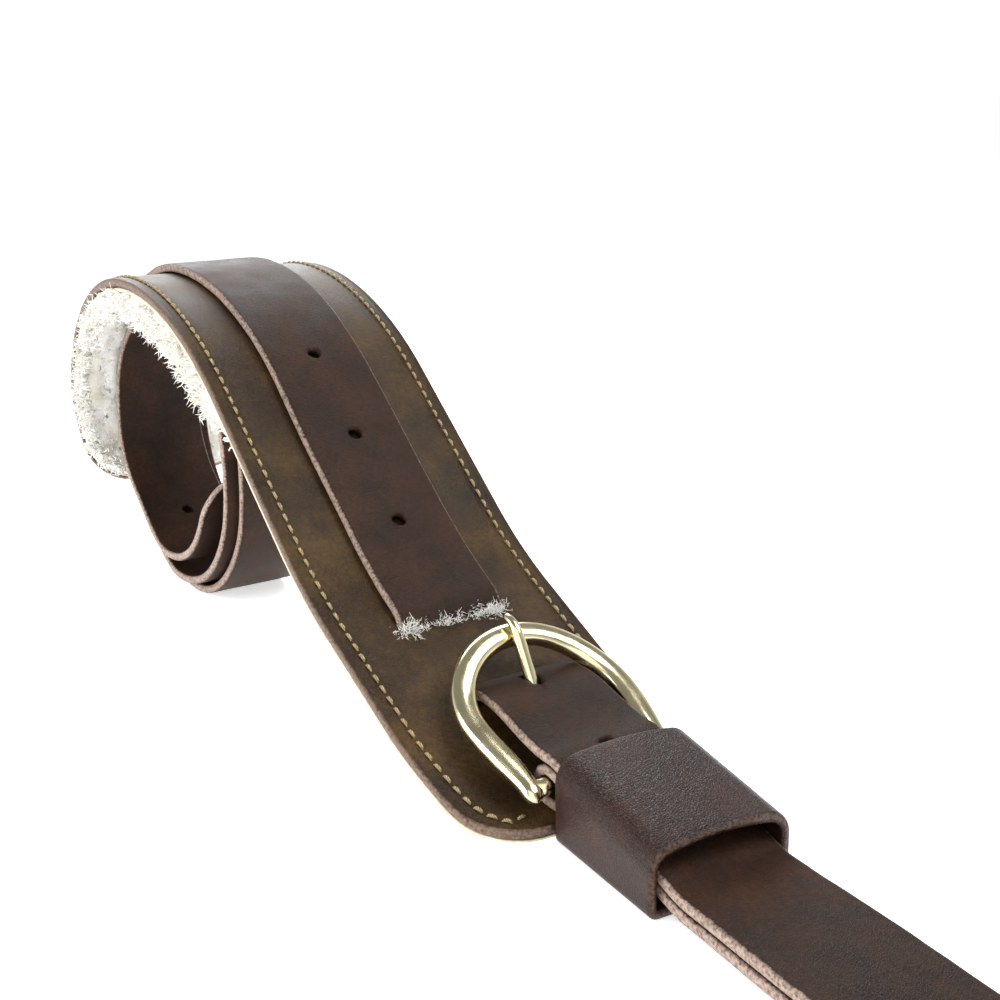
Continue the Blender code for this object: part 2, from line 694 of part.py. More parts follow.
def box_object(name, xs, ys, zs):
    """Box between two values on each axis."""
    corners = [(x, y, z) for x in xs for y in ys for z in zs]
    faces = [(0, 1, 3, 2), (4, 6, 7, 5), (0, 4, 5, 1), (2, 3, 7, 6), (0, 2, 6, 4), (1, 5, 7, 3)]
    return add_object(name, np.array(corners), faces, None)


# --- Buckle -----------------------------------------------------------------------------

def rim_line(count=44):
    """Middle of the buckle's rim as length u, side v and bow w, from one heel to the other."""
    heel = FRAME_INSIDE / 2 + RIM_WIDTH / 2
    wide = heel + FRAME_SWELL
    straight = FRAME_LENGTH - wide
    side_u = np.linspace(-0.002, straight, 12)
    side_v = heel + FRAME_SWELL * smooth(side_u / straight)
    turn = np.linspace(0.0, math.pi, count - 20)[1:-1]
    front_u = straight + wide * np.sin(turn)
    front_v = wide * np.cos(turn)
    u = np.concatenate([side_u, front_u, side_u[::-1]])
    v = np.concatenate([side_v, front_v, -side_v[::-1]])
    w = FRAME_BOW * smooth(u / FRAME_LENGTH) * (1.0 - (v / wide) ** 2).clip(0.0)
    return u, v, w


def frame_point(u, v, w):
    """World place of a point given in the buckle frame's own plane."""
    tilt = math.radians(FRAME_TILT)
    x = -u * math.cos(tilt) + w * math.sin(tilt)
    z = BAR_Z + u * math.sin(tilt) + w * math.cos(tilt)
    return np.stack([x, np.asarray(v) + SIDE_STEP, z], axis=-1)


def make_buckle():
    """Swelled horseshoe frame with its heel bar."""
    u, v, w = rim_line()
    line = frame_point(u, v, w)
    tilt = math.radians(FRAME_TILT)
    up = np.array((math.sin(tilt), 0.0, math.cos(tilt)))
    ahead = np.gradient(line, axis=0)
    ahead /= np.linalg.norm(ahead, axis=1)[:, None]
    turn = np.arange(10) * math.tau / 10
    rings = []
    for point, way in zip(line, ahead):
        side = np.cross(way, up)
        side /= np.linalg.norm(side)
        over = np.cross(side, way)
        rings.append(point + np.outer(np.cos(turn) * RIM_WIDTH / 2, side)
                     + np.outer(np.sin(turn) * RIM_HEIGHT / 2, over))
    frame = loft("buckle_frame", rings, PLATE)
    bar = cylinder("heel_bar", (0.0, SIDE_STEP, BAR_Z), (0.0, 1.0, 0.0), BAR_DIAMETER / 2,
                   FRAME_INSIDE + RIM_WIDTH * 0.8, PLATE, 16)
    combine(frame, bar, "UNION")
    set_origin(frame, (0.0, SIDE_STEP, BAR_Z))


def make_tongue():
    """Tongue with an eye round the heel bar and a tip that hooks over the front rim."""
    rows = tongue_line()
    turn = np.arange(10) * math.tau / 10
    along = arc_length(rows)
    radius = TONGUE_DIAMETER / 2 * (1.0 - TONGUE_TAPER * smooth(along / along[-1] * 4.0 - 3.0))
    rings = []
    for row, size in zip(rows, radius):
        normal = np.array((math.sin(row[2]), 0.0, math.cos(row[2])))
        centre = np.array((row[0], SIDE_STEP, row[1]))
        rings.append(centre + size * (np.outer(np.cos(turn), (0.0, 1.0, 0.0))
                                      + np.outer(np.sin(turn), normal)))
    tongue = loft("buckle_tongue", rings, PLATE)
    place = (0.0, SIDE_STEP, BAR_Z)
    eye = cylinder("tongue_eye", place, (0.0, 1.0, 0.0), EYE_OUTER,
                   TONGUE_DIAMETER * TONGUE_EYE_LENGTH, PLATE)
    bore = cylinder("tongue_bore", place, (0.0, 1.0, 0.0), BAR_DIAMETER / 2 + GAP,
                    TONGUE_DIAMETER * 4, None)
    combine(tongue, eye, "UNION")
    combine(tongue, bore, "DIFFERENCE")
    set_origin(tongue, place)


# --- Keeper -----------------------------------------------------------------------------

def keeper_ring(half, low, high, foot, shoulder):
    """Outline in the keeper's own YZ plane: four round corners and an arched top."""
    points = []
    corners = ((half, low, -90.0, foot), (half, high, 0.0, shoulder),
               (-half, high, 90.0, shoulder), (-half, low, 180.0, foot))
    for y, z, start, radius in corners:
        cy = y - math.copysign(radius, y)
        cz = z + radius if z == low else z - radius
        for step in range(5):
            turn = math.radians(start + step * 22.5)
            points.append((cy + radius * math.cos(turn), cz + radius * math.sin(turn)))
    outline = np.array(points)
    rise = KEEPER_CROWN * (1.0 - (outline[:, 0] / half) ** 2).clip(0.0)
    outline[:, 1] += np.where(outline[:, 1] > (low + high) / 2, rise, 0.0)
    return outline


def keeper_inside_top(x):
    """Least inside height of the keeper at a place along the girth."""
    rows = resample(UPPER_PATH, np.arange(0.0, place_at_bar(UPPER_PATH), 0.001))
    face = offset(rows, STRAP_THICK / 2)[::-1]
    return float(np.interp(x, face[:, 0], face[:, 1])) + KEEPER_CLEAR


def make_keeper():
    """Leather band round the layers, lower at its +X end."""
    half = STRAP_WIDTH / 2 + KEEPER_CLEAR
    ends = (KEEPER_START, KEEPER_START + KEEPER_LENGTH)
    slant = half * math.sin(math.radians(-RUN_YAW))
    tops = (keeper_inside_top(ends[0] - slant), keeper_inside_top(ends[0] + KEEPER_LENGTH * KEEPER_TOP_AT))
    foot, shoulder = KEEPER_FOOT - KEEPER_WALL, KEEPER_ROUND - KEEPER_WALL
    corner_drop = shoulder - math.sqrt(shoulder ** 2 - (shoulder - KEEPER_CLEAR) ** 2)
    rings = []
    for x, height in zip(ends, tops):
        top = height + corner_drop
        outer = keeper_ring(half + KEEPER_WALL, 0.0, top + KEEPER_WALL, KEEPER_FOOT, KEEPER_ROUND)
        inner = keeper_ring(half, KEEPER_WALL, top, foot, shoulder)
        rings.append((x, outer, inner))
    vertices, faces = band_shell(rings)
    keeper = add_object("keeper", vertices, faces, LEATHER)
    yaw = Matrix.Rotation(math.radians(RUN_YAW), 4, "Z")
    pivot = Vector((KEEPER_START, float(lateral(KEEPER_START)), 0.0))
    keeper.data.transform(Matrix.Translation((-KEEPER_START, 0.0, 0.0)))
    keeper.data.transform(yaw)
    keeper.location = pivot
    seam = cylinder("keeper_seam", (KEEPER_LENGTH / 2, 0.0, KEEPER_WALL - THREAD_DIAMETER / 2),
                    (1.0, 0.0, 0.0), THREAD_DIAMETER / 2, KEEPER_SEAM, THREAD, 8)
    groove = cylinder("keeper_seam_groove",
                      (KEEPER_LENGTH / 2, 0.0, KEEPER_WALL - THREAD_DIAMETER / 2),
                      (1.0, 0.0, 0.0), THREAD_DIAMETER / 2 + GAP, KEEPER_SEAM + 2 * GAP, None, 12)
    for item in (seam, groove):
        item.data.transform(yaw)
        item.location = pivot
    combine(keeper, groove, "DIFFERENCE")


def band_shell(rings):
    """Vertices and faces of a tube with a wall, from two pairs of outlines."""
    size = len(rings[0][1])
    vertices = []
    for x, outer, inner in rings:
        vertices += [(x, y, z) for y, z in outer]
        vertices += [(x, y, z) for y, z in inner]
    faces = []
    for j in range(size):
        k = (j + 1) % size
        faces.append((j, k, 2 * size + k, 2 * size + j))
        faces.append((size + j, 3 * size + j, 3 * size + k, size + k))
        faces.append((j, size + j, size + k, k))
        faces.append((2 * size + j, 2 * size + k, 3 * size + k, 3 * size + j))
    return np.array(vertices), faces


# --- Assembly ---------------------------------------------------------------------------

def world_box():
    """Corners of the box round every solid, as the modifiers leave them."""
    bpy.context.view_layer.update()
    graph = bpy.context.evaluated_depsgraph_get()
    low, high = np.full(3, np.inf), np.full(3, -np.inf)
    for item in bpy.context.scene.objects:
        if item.type != "MESH" or item.hide_render:
            continue
        shape = item.evaluated_get(graph)
        corners = np.array([item.matrix_world @ v.co for v in shape.data.vertices])
        low = np.minimum(low, corners.min(axis=0))
        high = np.maximum(high, corners.max(axis=0))
    return low, high


def move_origin():
    """Shift every object, so that the origin is the bottom centre of the girth."""
    low, high = world_box()
    shift = Vector((-(low[0] + high[0]) / 2, -(low[1] + high[1]) / 2, -low[2]))
    for item in bpy.context.scene.objects:
        item.location += shift
    bpy.context.view_layer.update()
    print("shift", [round(value, 6) for value in shift])


for old in list(bpy.context.scene.objects):
    bpy.data.objects.remove(old, do_unlink=True)

PAD_PATH, COIL_CENTRE = pad_top()
BAR_Z = bar_height()
SLIDE_END = KEEPER_START + KEEPER_LENGTH + KEEPER_TRAVEL
CREW_HALF = TONGUE_DIAMETER * TONGUE_EYE_LENGTH / 2 + GAP
UPPER_PATH = upper_curve()

make_pad()
make_stitching()
make_upper_strap()
make_lower_strap()
make_buckle()
make_tongue()
make_keeper()
move_origin()
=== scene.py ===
import json
import math

import bmesh
import bpy
import numpy as np
from bpy.props import FloatProperty, FloatVectorProperty, IntProperty, PointerProperty
from mathutils import Matrix, Vector


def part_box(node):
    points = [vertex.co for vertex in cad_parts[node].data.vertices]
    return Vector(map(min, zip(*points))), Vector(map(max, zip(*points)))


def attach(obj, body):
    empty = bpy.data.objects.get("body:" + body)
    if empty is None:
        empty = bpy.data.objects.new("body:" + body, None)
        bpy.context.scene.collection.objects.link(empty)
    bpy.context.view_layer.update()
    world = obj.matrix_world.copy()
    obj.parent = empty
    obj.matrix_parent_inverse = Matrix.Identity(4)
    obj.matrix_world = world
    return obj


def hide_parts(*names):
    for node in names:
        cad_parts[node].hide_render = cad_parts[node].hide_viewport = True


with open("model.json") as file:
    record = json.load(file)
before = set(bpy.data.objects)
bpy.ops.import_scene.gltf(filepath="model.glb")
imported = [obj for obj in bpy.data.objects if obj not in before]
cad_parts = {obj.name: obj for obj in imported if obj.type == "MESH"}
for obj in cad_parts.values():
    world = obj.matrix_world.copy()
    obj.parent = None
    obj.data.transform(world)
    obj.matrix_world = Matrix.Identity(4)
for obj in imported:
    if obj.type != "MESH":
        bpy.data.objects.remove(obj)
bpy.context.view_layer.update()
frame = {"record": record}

bl_info = {
    "name": "Sheepskin-lined Girth",
    "version": (1, 0, 0),
    "blender": (4, 5, 0),
    "location": "View3D > Sidebar > Girth",
    "description": "Leather girth strap with a sheepskin lining, a horseshoe buckle and a keeper",
    "category": "Add Mesh",
}

# --- Sizes, in metres and degrees, the same as the solids' ------------------------------

BAR_X = frame["record"]["behaviour"]["joints"][0]["pos_m"][0]
GAP = 0.0003
STRAP_WIDTH = 0.030
STRAP_THICK = 0.0027
HOLE_DIAMETER = 0.0042
HOLE_PITCH = 0.0302
PAD_HOLES = 3
PAD_HOLE_START = 0.0975
TONGUE_HOLE_CLEAR = 0.0012
TONGUE_HOLE_EXTRA = 0.0011    # the rounder tongue here needs a hole longer than the solid's
PAD_WIDTH = 0.0665
PAD_THICK = 0.0028
PAD_CORNER = 0.015
PAD_END_TAPER = 0.0035
PAD_TAPER_LENGTH = 0.040
PAD_FRONT = 0.0055
PAD_FRONT_RISE = 0.0042
PAD_FRONT_HEADING = 4.0
PAD_BENDS = (
    (0.010, 8.0),
    (0.012, 14.0),
    (0.051, 0.0),
    (0.030, 14.0),
    (0.052, 0.0),
    (0.075, -40.0),
)
CREST_HALF_LENGTH = 0.0665
CREST_HALF_HEIGHT = 0.054
PAD_END_ANGLE = 208.0
SKIN_THICK = 0.0012
PILE_THICK = 0.0075
PILE_PRESSED = 0.0035
LINING_INSET = 0.0006
STITCH_INSET = 0.0043
SLOT_A = 0.0680
SLOT_B = 0.0465
SLOT_RAMP = 0.0140
SLOT_CLEAR = 0.0004
BILLET_END = 0.150
CHAPE_END = 0.262
BILLET_CREST = 0.026
BILLET_CREST_RISE = 0.0050
CHAPE_FLAP = 0.031
FLAP_LATE = 0.004
FLAP_SKIVE = 0.0014
FLAP_PARED = 0.014
DESCENT = 0.018
END_HOLES = 4
END_HOLE_MARGIN = 0.028
TAIL_HOLE_MARGIN = 0.078
CREW_LENGTH = 0.0095
SEAM_NEAR_BAR = 0.013
SEAM_FAR = 0.026
SEAM_LENGTH = 0.024
SIDE_STEP = 0.0032
SIDE_STEP_START = -0.060
SIDE_STEP_LENGTH = 0.026
RUN_YAW = -4.4
YAW_BEND = 0.012
COIL_LAYER = 0.0033
COIL_LEAN = 0.0105
COIL_DRIFT = 0.0038
TAIL_LIFT = 0.0052
COIL_SETTLED = 252.0
COIL_END_ANGLE = 1072.0
COIL_LEANT = 310.0
COIL_CLIMB = (105.0, 60.0)    # angle where a turn moves in, and over what
COIL_FALL = (104.0, 48.0)     # angle past the pad's end where it moves out, and over what
TAIL_LOOSE = (905.0, 70.0)    # angle where the tail lifts clear, and over what
BAR_DIAMETER = 0.0042
RIM_WIDTH = 0.0062
RIM_HEIGHT = 0.0048
FRAME_PLAY = 0.0020
FRAME_SWELL = 0.0022
FRAME_LENGTH = 0.0425
FRAME_BOW = 0.0036
FRAME_TILT = 24.0
TONGUE_DIAMETER = 0.0031
TONGUE_EYE_WALL = 0.0013
TONGUE_BENDS = (
    (0.0175, 0.0),
    (0.0090, 46.0),
    (0.0130, 0.0),
    (0.0070, -70.0),
)
TONGUE_HEADING = 15.0
TONGUE_TAPER = 0.30
TONGUE_EYE_LENGTH = 1.3       # in tongue diameters
KEEPER_OFF_PAD = 0.0032
KEEPER_LENGTH = 0.0360
KEEPER_WALL = 0.0022
KEEPER_CLEAR = 0.0006
KEEPER_CROWN = 0.0018
KEEPER_TOP_AT = 0.62          # share of its length where its low end's height is taken
KEEPER_FOOT = 0.0026
KEEPER_ROUND = 0.0050
KEEPER_TRAVEL = 0.080
KEEPER_SEAM = 0.030

EDGE_POINTS = 7               # points round the side of a flat band
STRAP_COLUMNS = 33            # points across a strap, the pad and a lining layer
PAD_COLUMNS = 67
LINING_COLUMNS = 57
PILE_SET_IN = 0.0050          # the pile stops this far in where the pad lies low
OPEN_FROM = (0.135, 0.030)    # length along the pad where the coil opens, and over what
FLOOR_HALF = 60.0
LENS_MM = 50.82
CAMERA_TURN = (146.929, 15.782, -1.111)        # turn from +X, tilt down and roll
CAMERA_PLACE = (0.23407, -0.17497, 0.15727)    # from the point under the heel bar
LIGHTS = (                    # name, place, where it points, size, power
    ("key", (0.25, 0.35, 0.75), (-0.05, 0.0, 0.03), 0.55, 7.0),
    ("fill", (0.55, -0.55, 0.55), (-0.05, 0.0, 0.03), 0.9, 3.5),
    ("side", (-0.30, -0.75, 0.28), (-0.18, 0.0, 0.05), 0.5, 6.0),
    ("back", (-0.75, 0.25, 0.45), (-0.10, 0.0, 0.03), 0.6, 5.0),
)

FRAME_INSIDE = STRAP_WIDTH + FRAME_PLAY
LINING_THICK = SKIN_THICK + PILE_THICK + 2 * GAP
LAYER_STEP = STRAP_THICK + GAP
FOLD_INNER = BAR_DIAMETER / 2 + GAP
FOLD_MID = FOLD_INNER + STRAP_THICK / 2
FOLD_OUTER = FOLD_INNER + STRAP_THICK
ON_PAD = GAP + STRAP_THICK / 2
EYE_OUTER = BAR_DIAMETER / 2 + GAP + TONGUE_EYE_WALL
UNDER_BRIDGE = -(PAD_THICK + GAP + SLOT_CLEAR + STRAP_THICK / 2)
FLOOR_LAYER = KEEPER_WALL + GAP + STRAP_THICK / 2
KEEPER_START = PAD_FRONT + KEEPER_OFF_PAD
WRAP = STRAP_THICK + PAD_THICK + SKIN_THICK + PILE_PRESSED + 5 * GAP
COIL_INSIDE = 200


# --- Curves

def smooth(t):
    """Ease from 0 to 1 as t goes from 0 to 1."""
    t = np.clip(t, 0.0, 1.0)
    return t * t * (3.0 - 2.0 * t)


def bend_curve(start, heading, bends, step=0.001):
    """Points and headings along straight and round stretches; heading 0 points to -X."""
    x, z = start
    angle = math.radians(heading)
    rows = [(x, z, angle)]
    for length, turn in bends:
        count = max(2, round(length / step))
        part = length / count
        change = math.radians(turn) / count
        for _ in range(count):
            middle = angle + change / 2
            x -= part * math.cos(middle)
            z += part * math.sin(middle)
            angle += change
            rows.append((x, z, angle))
    return np.array(rows)


def lateral(x):
    """Sideways place of the strap's centre line at x."""
    shift = SIDE_STEP * smooth((x - SIDE_STEP_START) / SIDE_STEP_LENGTH)
    past = np.maximum(x, 0.0)
    eased = np.where(past < YAW_BEND, past ** 2 / (2 * YAW_BEND), past - YAW_BEND / 2)
    return shift + math.tan(math.radians(RUN_YAW)) * eased


def arc_length(points):
    """Length along a polyline, starting at 0."""
    parts = np.hypot(*np.diff(points[:, :2], axis=0).T)
    return np.concatenate([[0.0], np.cumsum(parts)])


def headings(points):
    """Heading at each point of a curve in the XZ plane; 0 points to -X."""
    rates = np.gradient(points, axis=0)
    return np.unwrap(np.arctan2(rates[:, 1], -rates[:, 0]))


def resample(points, places):
    """Points and headings of a dense curve at the given lengths."""
    along = arc_length(points)
    x = np.interp(places, along, points[:, 0])
    z = np.interp(places, along, points[:, 1])
    angle = np.interp(places, along, headings(points[:, :2]))
    return np.stack([x, z, angle], axis=1)


def offset(rows, distance):
    """Move each row of x, z, heading along its outward normal."""
    x = rows[:, 0] + np.sin(rows[:, 2]) * distance
    z = rows[:, 1] + np.cos(rows[:, 2]) * distance
    return np.stack([x, z], axis=1)


def pad_top():
    """Outer face of the pad leather, from its front end to its far end."""
    front = bend_curve((PAD_FRONT, PAD_FRONT_RISE), PAD_FRONT_HEADING, PAD_BENDS)
    turn = PAD_FRONT_HEADING + sum(bend[1] for bend in PAD_BENDS)
    front[:, 2] -= math.radians(turn) * smooth(np.linspace(0.0, 1.0, len(front)))
    crest_x, crest_z = front[-1, :2]
    angles = np.radians(np.arange(91.0, PAD_END_ANGLE + 0.5, 1.0))
    arc_x = crest_x + CREST_HALF_LENGTH * np.cos(angles)
    arc_z = crest_z + CREST_HALF_HEIGHT * (np.sin(angles) - 1.0)
    points = np.concatenate([front[:, :2], np.stack([arc_x, arc_z], axis=1)])
    return np.column_stack([points, headings(points)]), (crest_x, crest_z - CREST_HALF_HEIGHT)


def bar_height():
    """Height of the heel bar, whose fold of strap rests on the pad leather."""
    reach = FOLD_OUTER + GAP
    under = PAD_PATH[np.abs(PAD_PATH[:, 0]) < reach]
    return float(np.max(under[:, 1] + np.sqrt(reach ** 2 - under[:, 0] ** 2)))


def lower_height(x):
    """Middle of the lower strap's main layer to the right of the heel bar."""
    high = BAR_Z + FOLD_MID
    middle = FLOOR_LAYER + LAYER_STEP
    height = high + (middle - high) * smooth(x / DESCENT)
    height += (FLOOR_LAYER - middle) * smooth((x - CHAPE_FLAP - 0.002) / DESCENT)
    floor = STRAP_THICK / 2 - FLOOR_LAYER
    return height + floor * smooth((x - SLIDE_END - 0.004) / DESCENT)


def upper_run():
    """Middle of the upper strap to the right of the heel bar, one layer above the lower."""
    right = np.arange(CHAPE_END, -0.0005, -0.001)
    lower = np.stack([right, lower_height(right)], axis=1)
    rows = np.column_stack([lower, headings(lower)])
    rows[-1, 2] = 0.0
    upper = offset(rows, LAYER_STEP)
    return upper[upper[:, 0] <= BILLET_END]


def flap_height(x):
    """Middle of the folded-under end."""
    high = BAR_Z - FOLD_MID
    late = FLAP_LATE
    return high + (FLOOR_LAYER - high) * smooth((x - late) / (DESCENT - late))


def coil_inset(angle):
    """How far inside the outermost ellipse the strap's middle lies, by angle in degrees."""
    floor_inset = CREST_HALF_HEIGHT + ON_PAD - (COIL_CENTRE[1] - STRAP_THICK / 2)
    outer = floor_inset * smooth((angle - PAD_END_ANGLE) / (COIL_SETTLED - PAD_END_ANGLE))
    turns = np.maximum(angle - 270.0, 0.0) / 360.0
    squeeze = WRAP - floor_inset - COIL_LAYER / 4
    around = np.mod(angle - 270.0, 360.0)
    rise = smooth((around - COIL_CLIMB[0]) / COIL_CLIMB[1])
    fall = smooth((around - (PAD_END_ANGLE + COIL_FALL[0])) / COIL_FALL[1])
    covered = np.where(angle > 270.0, rise - fall, 0.0)
    loose = TAIL_LIFT * smooth((angle - TAIL_LOOSE[0]) / TAIL_LOOSE[1])
    return outer + COIL_LAYER * turns + squeeze * covered + loose


def coil_curve():
    """Middle of the strap from the crest round the outside of the pad and into the coil."""
    angles = np.arange(91.0, COIL_END_ANGLE + 0.5, 1.0)
    inset = coil_inset(angles)
    turn = np.radians(angles)
    lean = COIL_LEAN * smooth((angles - PAD_END_ANGLE) / (COIL_LEANT - PAD_END_ANGLE))
    half_length = CREST_HALF_LENGTH + ON_PAD - inset - lean
    x = COIL_CENTRE[0] - lean + half_length * np.cos(turn)
    z = COIL_CENTRE[1] + (CREST_HALF_HEIGHT + ON_PAD - inset) * np.sin(turn)
    side = -COIL_DRIFT * np.maximum(angles - 270.0, 0.0) / 360.0
    return np.stack([x, z, side], axis=1)


def pad_offset(along):
    """Distance of the strap's middle above the pad's outer face, by length along the pad."""
    up = smooth((along - SLOT_A + SLOT_RAMP / 2) / SLOT_RAMP)
    return UNDER_BRIDGE + (ON_PAD - UNDER_BRIDGE) * up


def with_side(points):
    """Points x, z of a strap's middle, with its sideways place added."""
    return np.column_stack([points, lateral(points[:, 0])])


def upper_curve():
    """Middle of the upper strap, from its tip on the +X side to its tip in the coil."""
    run = upper_run()
    along = arc_length(PAD_PATH)
    crest = along[np.argmax(PAD_PATH[:, 1])]
    inside = (along > SLOT_B + SLOT_RAMP / 2) & (along <= crest)
    rows = PAD_PATH[inside]
    lift = pad_offset(along[inside])
    carried = np.stack([rows[:, 0] + np.sin(rows[:, 2]) * lift,
                        rows[:, 1] + np.cos(rows[:, 2]) * lift], axis=1)
    hump = hump_curve(run[-1], carried[0], rows[0, 2])
    return np.concatenate([with_side(np.concatenate([run, hump, carried])), coil_curve()])


def hump_curve(start, end, heading):
    """The strap's hump between the heel bar and slot B, as two eased stretches."""
    top = (-BILLET_CREST, start[1] + BILLET_CREST_RISE)
    first = hermite(start, top, 0.0, 0.0)
    second = hermite(top, end, 0.0, math.tan(heading))
    return np.concatenate([first[1:], second[1:-1]])


def hermite(start, end, slope_in, slope_out, count=24):
    """Cubic between two points, with slopes given as rise per unit towards -X."""
    t = np.linspace(0.0, 1.0, count)
    span = start[0] - end[0]
    rise_in, rise_out = slope_in * span, slope_out * span
    z = (start[1] * (2 * t ** 3 - 3 * t ** 2 + 1) + rise_in * (t ** 3 - 2 * t ** 2 + t)
         + end[1] * (3 * t ** 2 - 2 * t ** 3) + rise_out * (t ** 3 - t ** 2))
    return np.stack([start[0] - span * t, z], axis=1)


def lower_curve():
    """Middle of the lower strap: its free tip, the main layer, the fold and the flap."""
    right = np.arange(CHAPE_END, 0.0, -0.001)
    main = np.stack([right, lower_height(right)], axis=1)
    turn = np.radians(np.arange(90.0, 271.0, 7.5))
    fold = np.stack([FOLD_MID * np.cos(turn), BAR_Z + FOLD_MID * np.sin(turn)], axis=1)
    back = np.arange(0.001, CHAPE_FLAP, 0.001)
    flap = np.stack([back, flap_height(back)], axis=1)
    return with_side(np.concatenate([main, fold, flap]))


# --- Surfaces ---------------------------------------------------------------------------

def wave(points, size, seed):
    """Soft unevenness from -1 to 1: six sines of the place, in directions spread by the
    golden angle and of lengths near the given size, added and divided by their number."""
    turn = np.arange(6) * 2.39996 + seed
    rise = np.linspace(-0.8, 0.8, 6)
    ways = np.stack([np.cos(turn) * np.sqrt(1 - rise ** 2), np.sin(turn) * np.sqrt(1 - rise ** 2),
                     rise], axis=1) * (math.tau / size) * np.linspace(0.7, 1.5, 6)[:, None]
    return np.sin(points @ ways.T + turn * 3.1).sum(axis=-1) / 3.0


def tube_faces(rows, columns):
    """Quads between neighbouring rings, as an array of rows by columns."""
    low = np.arange(rows - 1)[:, None] * columns
    here = np.arange(columns)[None, :]
    after = (here + 1) % columns
    return np.stack([low + here, low + after, low + columns + after, low + columns + here], -1)


def add_piece(name, points, faces, material, fields=None):
    """A closed smooth piece from its points and faces, with named values at its points."""
    mesh = bpy.data.meshes.new(name)
    mesh.from_pydata(points, [], faces)
    work = bmesh.new()
    work.from_mesh(mesh)
    bmesh.ops.recalc_face_normals(work, faces=work.faces)
    work.to_mesh(mesh)
    work.free()
    mesh.shade_smooth()
    for field, values in (fields or {}).items():
        mesh.attributes.new(field, "FLOAT", "POINT").data.foreach_set("value", np.ravel(values))
    mesh.materials.append(material)
    item = bpy.data.objects.new(name, mesh)
    bpy.context.scene.collection.objects.link(item)
    return item


def carried(path, along, across, lift):
    """Points given by length along a path, place across it and height above it: the path's
    point at that length, moved by its outward normal times the height."""
    base = arc_length(path)
    angle = np.interp(along, base, headings(path[:, :2]))
    x = np.interp(along, base, path[:, 0]) + np.sin(angle) * lift
    z = np.interp(along, base, path[:, 1]) + np.cos(angle) * lift
    return np.stack([x + BAR_X, np.interp(along, base, path[:, 2]) + across, z], axis=-1)


def flat_section(half, low, high, columns):
    """Places across and heights of a flat band's closed outline: a straight top and bottom,
    and sides that follow a squared-off half circle. Also how near each point is to a side."""
    mid, thick = (high + low) / 2, (high - low) / 2
    flat = np.maximum(half - thick * 0.8, half * 0.3)
    top = np.linspace(-1.0, 1.0, columns)
    turn = np.linspace(90.0, -90.0, EDGE_POINTS + 2)[1:-1] * math.pi / 180
    out = np.cos(turn) ** 0.7
    rise = np.sign(np.sin(turn)) * np.abs(np.sin(turn)) ** 0.7
    side = np.outer(half - flat, out) + flat[:, None]
    across = np.hstack([np.outer(flat, top), side, -np.outer(flat, top), -side])
    one = np.ones(columns)
    lift = mid[:, None] + thick[:, None] * np.hstack([one, rise, -one, -rise])[None]
    edge = np.hstack([one * 0, out, one * 0, out])[None] * np.ones((len(half), 1))
    return across, lift, edge


def block_ring(rows, columns):
    """Grid places round the border of a block, given its first and last row and column."""
    (a, b), (c, d) = rows, columns
    step = 1 if d > c else -1
    line = [(a, k) for k in range(c, d, step)] + [(i, d) for i in range(a, b)]
    line += [(b, k) for k in range(d, c, -step)] + [(i, c) for i in range(b, a, -1)]
    return np.array(line)


def pierced_band(name, path, places, section, openings, columns, material, shape=None):
    """A closed flat band along a path, with openings right through it. Each opening drops a
    block of cells from the top and from the bottom, moves their borders to the opening's
    outline, and joins the two borders with a wall."""
    across, lift, edge = section
    count, size = across.shape
    along = np.repeat(places[:, None], size, axis=1)
    faces = tube_faces(count, size)
    keep = np.ones(faces.shape[:2], bool)
    under = columns + EDGE_POINTS
    walls = []
    for top, bottom, (c, d), outline in openings:
        last = columns - 1
        upper = block_ring(top, (c, d))
        lower = block_ring(bottom, (under + last - c, under + last - d))
        keep[top[0]:top[1], c:d] = False
        keep[bottom[0]:bottom[1], under + last - d:under + last - c] = False
        for ring in (upper, lower):
            i, j = ring.T
            along[i, j], across[i, j] = outline(along[i, j], across[i, j])
            edge[i, j] = 0.35
        first, second = upper @ (size, 1), lower @ (size, 1)
        walls.append(np.stack([first, np.roll(first, -1), np.roll(second, -1), second], 1))
    points = carried(path, along, across, lift).reshape(-1, 3)
    if shape is not None:
        points = shape(points, along.ravel(), across.ravel(), lift.ravel())
    quads = np.concatenate([faces[keep], *walls]).tolist()
    quads += [list(range(size)), list(range((count - 1) * size, count * size))]
    return add_piece(name, points, quads, material, {"edge": edge})


def hole_outline(place, middle, length, width):
    """Outline of a hole: a border point keeps its angle about the hole's middle and takes its
    radius, and a longer hole is the round one with its ends moved apart."""
    def outline(along, across):
        """The border's points moved to the hole's edge."""
        turn = np.arctan2(across - middle, along - place)
        spread = (length - width) / 2 * np.sign(np.round(np.cos(turn), 6))
        return place + np.cos(turn) * width / 2 + spread, middle + np.sin(turn) * width / 2
    return outline


def with_holes(places, holes, cell):
    """Stations along a band with five evenly spaced across each hole."""
    for place, length in holes:
        step = cell * np.array([1.0, 0.5 + 0.5 * length / HOLE_DIAMETER])[int(length > 0.0045)]
        near = place + step * np.arange(-3, 4)
        places = places[np.abs(places - place) > 3.6 * step]
        places = np.sort(np.concatenate([places, near]))
    return places


